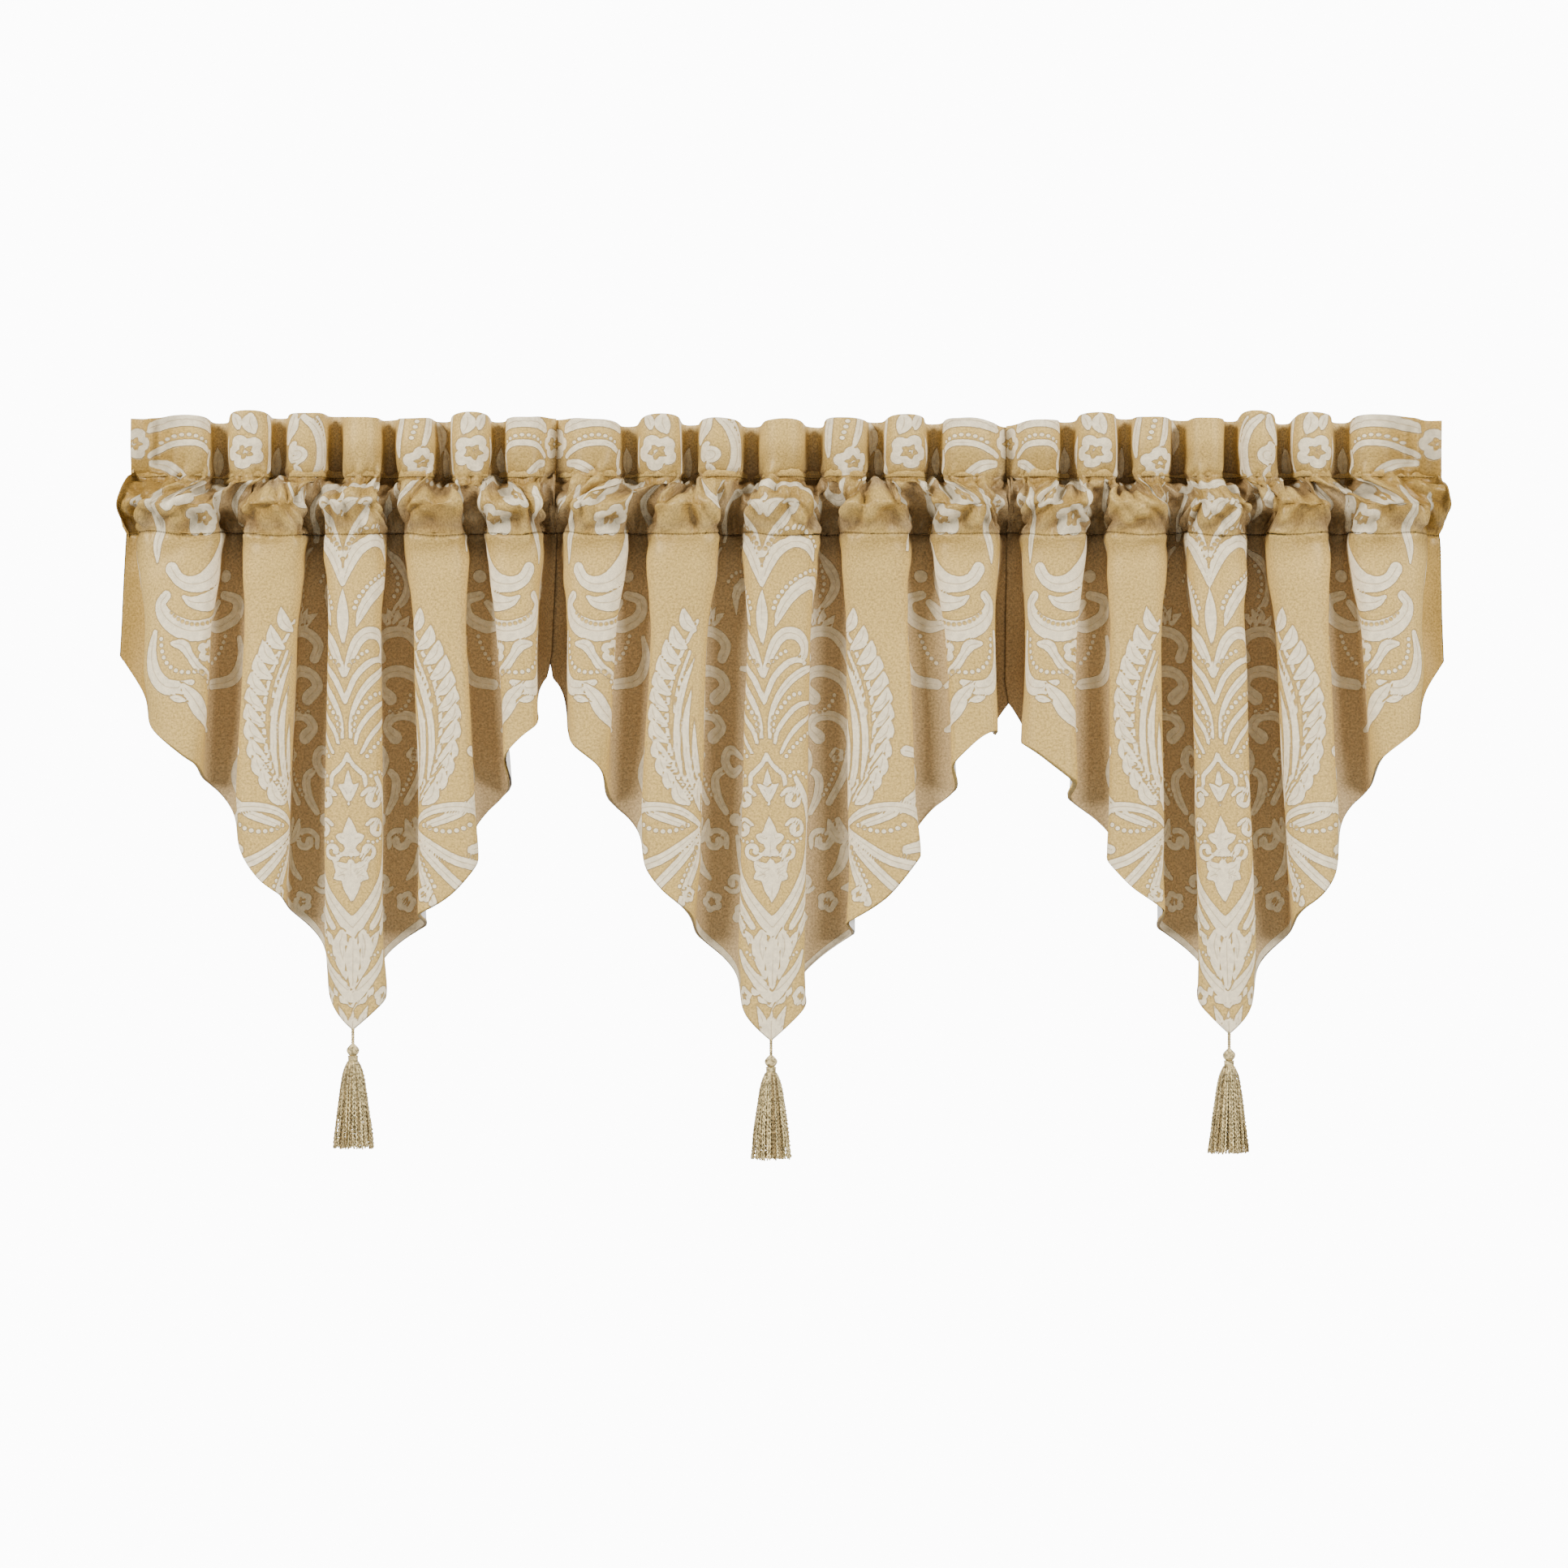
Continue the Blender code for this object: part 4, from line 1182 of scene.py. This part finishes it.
def set_values(piece, name, values):
    """Stores a number or a vector at each point."""
    kind = "FLOAT" if values.ndim == 1 else "FLOAT_VECTOR"
    stored = piece.data.attributes.new(name, kind, "POINT")
    key = "value" if kind == "FLOAT" else "vector"
    stored.data.foreach_set(key, values.ravel().astype(np.float32))


# %% [markdown]
# The cloth has two faces of one weave. The ground is gold satin, whose long floats shine softly
# and look speckled up close. The figure is a thick cream weave that stands proud of it, is matt,
# and has a fine slanting rib. A thin sunk line runs round each motif where the two weaves meet.


# %% Figured satin
def figured_satin():
    board = Board("figured satin")
    where = board.node("ShaderNodeUVMap", {"uv_map": "cloth"}, {})
    u, v, _ = board.split(where)
    inside = board.attribute("figure")
    along, off, room = board.split(board.attribute("beads", 1))
    near = board.attribute("bead_near")
    vein = abs(board.attribute("vein"))
    # Stitching
    sewn = abs(v).least(abs(v - POCKET_TALL) + 0.0006).least(abs(v - BACK_SEAM)) * 1000
    dash = (u * 310).part().step(0.66, 0.78)
    stitch = (1 - sewn.step(0.25, 1.0)) * (1 - dash * 0.45)
    # Figure and beads
    edge_noise = board.noise(where, 420.0, 1.0)
    depth = inside + (edge_noise - 0.5) * 1.1
    cream = depth.step(-0.25, 0.35)
    bead_x = along.part() - 0.5
    reach = (bead_x * bead_x + off * off).root()
    hold = near.step(0.9, 0.99) * room.step(-0.02, 0.02)
    bead = (1 - reach.step(0.30, 0.40)) * hold
    halo = (1 - reach.step(0.40, 0.56)) * hold
    raised = cream + bead - cream * bead * 2
    groove = (1 - abs(depth + 0.25).step(0.20, 1.0)).most(halo - bead)
    slit = (1 - (vein + (edge_noise - 0.5) * 0.8).step(0.15, 0.75)) * depth.step(2.6, 3.6)
    # Gold ground and cream yarn
    floats = board.noise(board.join(u * 2300, v * 900), 1.0, 2.0, 0.6)
    speck = board.noise(where, 560.0, 2.0, 0.7).step(0.32, 0.68)
    slow = board.noise(where, 14.0, 2.0)
    rib = ((u + v * 0.8) * 3900 + board.noise(where, 260.0) * 4.0).sine() * 0.5 + 0.5
    quilt = board.noise(where, 150.0, 2.0).step(0.25, 0.75)
    coarse = board.noise(where, 380.0, 2.0, 0.6).step(0.34, 0.66)
    grain = floats * 0.2 + speck * 0.4 + coarse * 0.4
    gold = board.shade((0.545, 0.366, 0.112), 0.56, 1.42, grain)
    gold = board.shade(gold, 0.92, 1.08, slow)
    yarn = rib * 0.26 + quilt * 0.44 + speck * 0.3
    cream_cloth = board.shade((0.840, 0.715, 0.480), 0.68, 1.22, yarn)
    # Painted shade of the hollows, the gathers' valleys and the outer edges, and painted reflection
    # in the gathers
    hollow_shade = board.attribute("hollow_shade")
    gathered = 1 - abs(v - 0.036).step(0.042, 0.070)
    valley_shade = gathered * (1 - board.attribute("folds").step(-6.5, 3.5))
    # Painted shade in the hollows: darker and cooler where the cloth lies further back
    gold = board.tint(gold, (0.71, 0.73, 1.16), hollow_shade)
    # Painted shade of the outermost folds at each end of the row: darker and browner
    rim = board.attribute("rim")
    gold = board.tint(gold, (0.74, 0.68, 0.55), rim)
    # Painted reflection: the gold of the gathered pocket and the header's foot is darkened, for the
    # satin's dark reflections there
    gold = board.shade(gold, 1.0, 0.84, gathered)
    # In the header the hollows' painted shade is made lighter and less warm
    header = v.step(0.058, 0.072)
    gold = board.tint(gold, (1.10, 1.18, 1.42), header * hollow_shade)
    pinch = abs(board.noise(board.join(u * 58 + v * 16, v * 23), 1.0, 1.0) - 0.5)
    pinch = pinch * (1 - abs(v - 0.028).step(0.026, 0.040))
    # Painted shade in the valleys of the pocket's crumples, set by the stored crease heights
    gold = board.tint(gold, (0.63, 0.56, 0.45), valley_shade)
    cream_cloth = board.shade(cream_cloth, 1.0, 0.72, hollow_shade.most(rim))
    cream_cloth = board.shade(cream_cloth, 1.0, 0.66, valley_shade)
    # Both weaves together
    colour = board.blend(raised, gold, cream_cloth)
    outline = groove.most(slit * 0.6) * (0.75 - hollow_shade * 0.45)
    colour = board.blend(outline, colour, (0.36, 0.235, 0.085))
    colour = board.shade(colour, 1.0, 0.42, stitch)
    # Painted shadow: a dark line close along the hems and the side edges
    hem_edge_shade = 1 - board.attribute("to_edge").step(0.5, 1.9)
    colour = board.shade(colour, 1.0, 0.40, hem_edge_shade)
    height = raised * 0.75 + raised * (rib * 0.05 + quilt * 0.42) - slit * 0.4
    height = height + (1 - raised) * (floats * 0.05 + speck * 0.06) - groove * 0.25
    height = height - stitch * 0.5 + pinch * 6
    return board.finish(
        Base_Color=colour,
        Roughness=raised * 0.32 + 0.46 + (speck - 0.5) * 0.16 - gathered * 0.07,
        Normal=board.bump(height, 0.9),
        Specular_IOR_Level=0.36,
        Specular_Tint=(1.0, 0.80, 0.50),
    )


satin = figured_satin()
print("satin nodes", len(satin.node_tree.nodes))

# %% Hang the three cloths
COLUMNS, DROP_ROWS = 349, 186
POCKET_ROWS, HEADER_ROWS, BACK_ROWS = 22, 25, 9
# The painted shade of the outer edges begins this far out and ramps up over this width
RIM_SHADE_FROM, RIM_SHADE_WIDE = 0.368, 0.030
# Where the hollows' painted shade starts, by depth, and how far it reaches, down the cloth
HOLLOW_SHADE_STOPS = (-0.1, -0.065, -0.050, -0.008, 0.012)
HOLLOW_SHADE_FROM = (-0.004, -0.012, -0.034, -0.034, -0.008)
HOLLOW_SHADE_REACH = (0.048, 0.036, 0.016, 0.016, 0.022)
for name, panel in PANELS.items():
    flat, back = cloth_columns(COLUMNS)
    front, over, behind = heading_rows(POCKET_ROWS, HEADER_ROWS, BACK_ROWS)
    grid, down = panel_grid(panel, flat, back, DROP_ROWS, front + over + behind)
    grid, folds = crease(grid, flat, down, name)
    grid = tuck_sides(grid, flat, down, name)
    cloth = grid_piece(f"cloth_{name}", grid)
    # Crease heights of the gathered zone, which set the painted shade of their valleys
    set_values(cloth, "folds", folds.ravel())
    u = np.broadcast_to(flat, down.shape)
    set_map(cloth, u, -down)
    drawn, places = figure_on(name, panel, u.ravel() * 1000, down.ravel() * 1000)
    set_values(cloth, "figure", drawn[:, 0])
    set_values(cloth, "vein", drawn[:, 1])
    # Distance to the hem and the side edges, for the painted shadow line along them
    to_hem = (drop_length(panel, flat) - down) * 1000
    to_side = np.where(down < 0, 9.0, (HALF - np.abs(u)) * 1000)
    set_values(cloth, "to_edge", np.clip(np.minimum(to_hem, to_side), 0, 9).ravel())
    set_values(cloth, "beads", places[:, :3])
    set_values(cloth, "bead_near", places[:, 3])
    # Painted shade of the hollows: from 0 at the front to 1 where the cloth lies far back
    level = np.interp(down.ravel(), HOLLOW_SHADE_STOPS, HOLLOW_SHADE_FROM)
    reach = np.interp(down.ravel(), HOLLOW_SHADE_STOPS, HOLLOW_SHADE_REACH)
    outer = OUTER_SIDE[name]
    # Painted shade of the row's two outer edges, kept out of the hollows' painted shade
    rim = smooth((outer * u.ravel() - RIM_SHADE_FROM) / RIM_SHADE_WIDE)
    hollow_shade = smooth((grid[:, :, 1].ravel() - level) / reach)
    set_values(cloth, "hollow_shade", hollow_shade * (1 - rim * abs(outer)))
    set_values(cloth, "rim", rim * abs(outer))
    cloth.data.materials.append(satin)
    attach(cloth, "root")
    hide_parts(f"heading_{name}", f"face_{name}")
    drops = drop_length(panel, flat[3:-3])
    width, length = 2 * HALF, float(drops.max()) + HEADING_CLOTH
    print(cloth.name, len(cloth.data.polygons) * 2, "triangles")

# %% [markdown]
# The lining is plain white cotton, sewn in behind the face and a little shorter, so it shows from
# behind and at the turns of the hem. It hangs on the same folds and takes the same creases.


# %% Lining cloth
def lining_cotton():
    board = Board("lining cotton")
    where = board.node("ShaderNodeUVMap", {"uv_map": "cloth"}, {})
    u, v, _ = board.split(where)
    warp = (u * 5200).sine() * 0.5 + 0.5
    weft = (v * 5200).sine() * 0.5 + 0.5
    uneven = board.noise(where, 60.0, 3.0)
    weave = warp * weft
    colour = board.shade((0.74, 0.715, 0.665), 0.93, 1.05, weave * 0.4 + uneven * 0.6)
    return board.finish(
        Base_Color=colour,
        Roughness=uneven * 0.1 + 0.78,
        Normal=board.bump(weave * 0.06 + uneven * 0.10, 0.8),
        Sheen_Weight=0.1,
    )


cotton = lining_cotton()
LINING_COLUMNS, LINING_ROWS = 175, 84
LINING_MARGIN, LINING_BEHIND, LINING_NARROWER = 0.0024, 0.0016, 0.015
for name, panel in PANELS.items():
    flat = np.linspace(-HALF + LINING_MARGIN, HALF - LINING_MARGIN, LINING_COLUMNS)
    length = drop_length(panel, flat)
    points, downs = [], []
    for level in np.linspace(1, 0, LINING_ROWS):
        share = level * (1 - LINING_MARGIN / length)
        x, y = drop_section(panel, flat, share)
        nx, ny = facing(x, y)
        x, y = x - LINING_BEHIND * nx, y - LINING_BEHIND * ny
        points.append((x, y, DROP_SEAM - share * length))
        downs.append(share * length)
    grid = np.stack([np.stack(row, axis=1) for row in points])
    down = np.stack(downs)
    grid, _ = crease(grid, flat, down, name)
    grid = tuck_sides(grid, flat, down, name)
    lining = grid_piece(f"lining_cloth_{name}", grid[:, ::-1])
    set_map(lining, np.broadcast_to(flat, down.shape)[:, ::-1], -down[:, ::-1])
    lining.data.materials.append(cotton)
    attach(lining, "root")
    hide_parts(f"lining_{name}")
    print(lining.name, len(lining.data.polygons) * 2, "triangles")

# %% [markdown]
# The tassel's silk is shiny, and each yarn is crimped, so it glints. Small glints are also painted
# into the colour as light and dark points, with painted shade in stripes along the twist. The yarns
# are one tone of champagne with darker ones among them.


# %% Silk
def tassel_silk():
    board = Board("tassel silk")
    place = board.node("ShaderNodeTexCoord", {}, {}, 3)
    twist = board.attribute("twist")
    tone = board.attribute("tone")
    ply = (twist * 6.2832).sine() * 0.5 + 0.5
    glint = board.noise(place, 330.0, 2.0, 0.7).step(0.40, 0.60)
    colour = board.blend(tone, (0.24, 0.145, 0.040), (0.92, 0.74, 0.36))
    # Painted glints and painted shade: light and dark points, and stripes along the twist and the
    # windings
    colour = board.shade(colour, 0.30, 1.40, ply * 0.3 + glint * 0.7)
    return board.finish(
        Base_Color=colour,
        Metallic=0.35,
        Roughness=glint * 0.16 + 0.26,
        Normal=board.bump(ply * 0.3 + glint * 0.3, 1.0),
    )


silk = tassel_silk()


# %% Tubes for cord and yarn
def tubes_piece(name, tubes, sides):
    """Many thin tubes in one piece. A tube is its path, its radii, its tone and its turns."""
    corners, faces, tones, twists = [], [], [], []
    base = 0
    ring = np.arange(sides) * 2 * math.pi / sides
    for path_points, radii, tone, turns in tubes:
        steps = len(path_points)
        ahead = np.gradient(path_points, axis=0)
        ahead /= np.linalg.norm(ahead, axis=1, keepdims=True)
        side = np.cross(ahead, np.array([0.31, 0.95, 0.02]))
        side /= np.linalg.norm(side, axis=1, keepdims=True)
        other = np.cross(ahead, side)
        out = np.cos(ring)[None, :, None] * side[:, None]
        out = out + np.sin(ring)[None, :, None] * other[:, None]
        corners.append((path_points[:, None] + out * radii[:, None, None]).reshape(-1, 3))
        a = base + np.arange(steps - 1)[:, None] * sides + np.arange(sides)
        b = base + np.arange(steps - 1)[:, None] * sides + (np.arange(sides) + 1) % sides
        faces += np.stack([a, b, b + sides, a + sides], axis=2).reshape(-1, 4).tolist()
        faces.append(list(range(base + sides - 1, base - 1, -1)))
        faces.append(list(range(base + (steps - 1) * sides, base + steps * sides)))
        tones.append(np.full(steps * sides, tone))
        turn = np.linspace(0, turns, steps)[:, None] + ring[None] / (2 * math.pi)
        twists.append(turn.ravel())
        base += steps * sides
    mesh = bpy.data.meshes.new(name)
    mesh.from_pydata(np.concatenate(corners).tolist(), [], faces)
    mesh.shade_smooth()
    piece = bpy.data.objects.new(name, mesh)
    bpy.context.scene.collection.objects.link(piece)
    set_values(piece, "tone", np.concatenate(tones))
    set_values(piece, "twist", np.concatenate(twists))
    return piece


# %% [markdown]
# The skirt is drawn yarn by yarn. Ninety-six yarns leave the neck in three rings and open out to
# the width in the photograph. Each yarn swings a little from its neighbours and is crimped.

# %% Yarns of a skirt
SKIRT_SHARES = (0.0, 0.05, 0.10, 0.20, 0.35, 0.50, 0.70, 0.90, 1.0)
SKIRT_RADII = (0.0058, 0.0080, 0.0096, 0.0116, 0.0134, 0.0152, 0.0176, 0.0192, 0.0200)
SKIRT_LONG = 0.0905


def skirt_yarns(seed):
    """Paths of one tassel's yarns, below the top of the skirt at the origin."""
    chance = np.random.default_rng(seed)
    yarns = []
    for count, reach, thick in ((50, 1.0, 1.0), (30, 0.74, 1.0), (16, 0.42, 1.1)):
        for number in range(count):
            share = np.linspace(0, 1, 44)
            angle = 2 * math.pi * (number + 0.35 * chance.random()) / count
            angle = angle + 0.16 * (chance.random() - 0.5) * share
            sway = 0.05 * np.sin(share * (5 + 4 * chance.random()) + 7 * chance.random())
            far = reach * np.interp(share, SKIRT_SHARES, SKIRT_RADII)
            far = far * (1 + sway * share)
            crimp = 2 * math.pi * (share * (17 + 3 * chance.random()) + chance.random())
            wave = 0.00068 * smooth(share / 0.12)
            long = SKIRT_LONG * (1.0 - 0.035 * chance.random())
            x = far * np.cos(angle) + wave * np.cos(crimp)
            y = far * np.sin(angle) + wave * np.sin(crimp)
            line = np.stack([x, y, -long * share], axis=1)
            radii = thick * (0.00050 + 0.00042 * smooth(share / 0.5))
            radii = radii * (1 + 0.24 * np.cos(crimp))
            tone = 0.10 + 0.90 * chance.random()
            yarns.append((line, radii, tone, 26.0))
    return yarns


print("yarns in a skirt", len(skirt_yarns(1)))

# %% [markdown]
# The head is a wooden mould wound with silk. A sphere is the start: its points are moved so that
# its top narrows up to the cord and its middle swells a little. A fluted band of silk ties the
# neck, and a thin cord wraps both ends of that band.

# %% Knob, neck band and wraps
KNOB_TALL, KNOB_RADIUS = 0.0140, 0.0063
NECK_TALL, NECK_RADIUS = 0.0065, 0.0052
WRAPS = ((-KNOB_TALL + 0.0004, 0.0049), (-KNOB_TALL - NECK_TALL + 0.0012, 0.0052))
PLY_OFF, PLY_RADIUS, PLY_LAY = 0.00088, 0.00098, 0.0052


def settle():
    """Puts the new piece's place, turn and size into its points."""
    bpy.ops.object.transform_apply(location=True, rotation=True, scale=True)


def head_parts():
    """The head of a tassel, with its top at the origin."""
    bpy.ops.object.select_all(action="DESELECT")
    bpy.ops.mesh.primitive_uv_sphere_add(
        segments=36, ring_count=22, radius=1.0, location=(0, 0, -KNOB_TALL / 2)
    )
    knob = bpy.context.object
    knob.scale = (KNOB_RADIUS, KNOB_RADIUS, KNOB_TALL / 2)
    settle()
    for point in knob.data.vertices:
        share = -point.co.z / KNOB_TALL
        full = 1.0 - 0.38 * (1 - smooth(share / 0.5)) + 0.06 * math.sin(math.pi * share)
        point.co.x *= full
        point.co.y *= full
    bpy.ops.object.shade_smooth()
    bpy.ops.mesh.primitive_cylinder_add(
        vertices=36,
        radius=NECK_RADIUS,
        depth=NECK_TALL,
        location=(0, 0, -KNOB_TALL - NECK_TALL / 2 + 0.0008),
    )
    neck = bpy.context.object
    settle()
    for point in neck.data.vertices:
        angle = math.atan2(point.co.y, point.co.x)
        flute = 1 + 0.045 * math.cos(18 * angle)
        point.co.x *= flute
        point.co.y *= flute
    bpy.ops.object.mode_set(mode="EDIT")
    bpy.ops.mesh.select_all(action="SELECT")
    bpy.ops.mesh.bevel(offset=0.0004, segments=1)
    bpy.ops.object.mode_set(mode="OBJECT")
    bpy.ops.object.shade_smooth_by_angle(angle=math.radians(50))
    rings = []
    for z, radius in WRAPS:
        bpy.ops.mesh.primitive_torus_add(
            major_radius=radius,
            minor_radius=0.0007,
            major_segments=36,
            minor_segments=8,
            location=(0, 0, z),
        )
        settle()
        bpy.ops.object.shade_smooth()
        rings.append(bpy.context.object)
    for part in (knob, neck, *rings):
        places = np.empty(len(part.data.vertices) * 3, dtype=np.float32)
        part.data.vertices.foreach_get("co", places)
        x, y, z = places.reshape(-1, 3).T
        turn = np.arctan2(y, x) / (2 * math.pi)
        winding = turn * 24 if part is neck else turn * 3 + z * 900
        set_values(part, "twist", winding)
        set_values(part, "tone", np.full(len(x), 0.62))
    return [knob, neck, *rings]


def cord_lines(long):
    """Two plies wound about each other, hanging down from the origin."""
    share = np.linspace(0, 1, 64)
    lines = []
    for start in (0.0, math.pi):
        turn = start + 2 * math.pi * share * long / PLY_LAY
        x, y = PLY_OFF * np.cos(turn), PLY_OFF * np.sin(turn)
        line = np.stack([x, y, -long * share], axis=1)
        lines.append((line, np.full(len(share), PLY_RADIUS), 0.55, 9.0))
    return lines


# %% Tie the three tassels
def move_points(piece, place, lean):
    """Moves a piece's points to their place, leaning a little across as they go down."""
    for point in piece.data.vertices:
        point.co.x += place.x + lean * -point.co.z
        point.co.y += place.y
        point.co.z += place.z


LEANS = {"left": 0.006, "centre": 0.0, "right": -0.010}
for number, name in enumerate(PANELS):
    low, high = (Vector(c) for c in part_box(f"tassel_{name}"))
    top = Vector(((low.x + high.x) / 2, (low.y + high.y) / 2, high.z))
    cord_low, cord_high = (Vector(c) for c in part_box(f"tassel_cord_{name}"))
    long = cord_high.z - cord_low.z + 0.0048
    hanger = tubes_piece(f"hanger_{name}", cord_lines(long), 10)
    hanger.data.materials.append(silk)
    move_points(hanger, Vector((top.x, top.y, cord_high.z + 0.0034)), 0.0)
    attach(hanger, "root")
    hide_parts(f"tassel_cord_{name}")
    skirt = tubes_piece(f"tassel_silk_{name}", skirt_yarns(40 + number), 4)
    for point in skirt.data.vertices:
        point.co.z -= KNOB_TALL + NECK_TALL - 0.0012
    parts = head_parts()
    bpy.ops.object.select_all(action="DESELECT")
    for part in parts:
        part.select_set(True)
    skirt.select_set(True)
    bpy.context.view_layer.objects.active = skirt
    bpy.ops.object.join()
    skirt.data.materials.clear()
    skirt.data.materials.append(silk)
    move_points(skirt, top, LEANS[name])
    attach(skirt, "root")
    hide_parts(f"tassel_{name}")
    print(skirt.name, len(skirt.data.polygons), "faces")
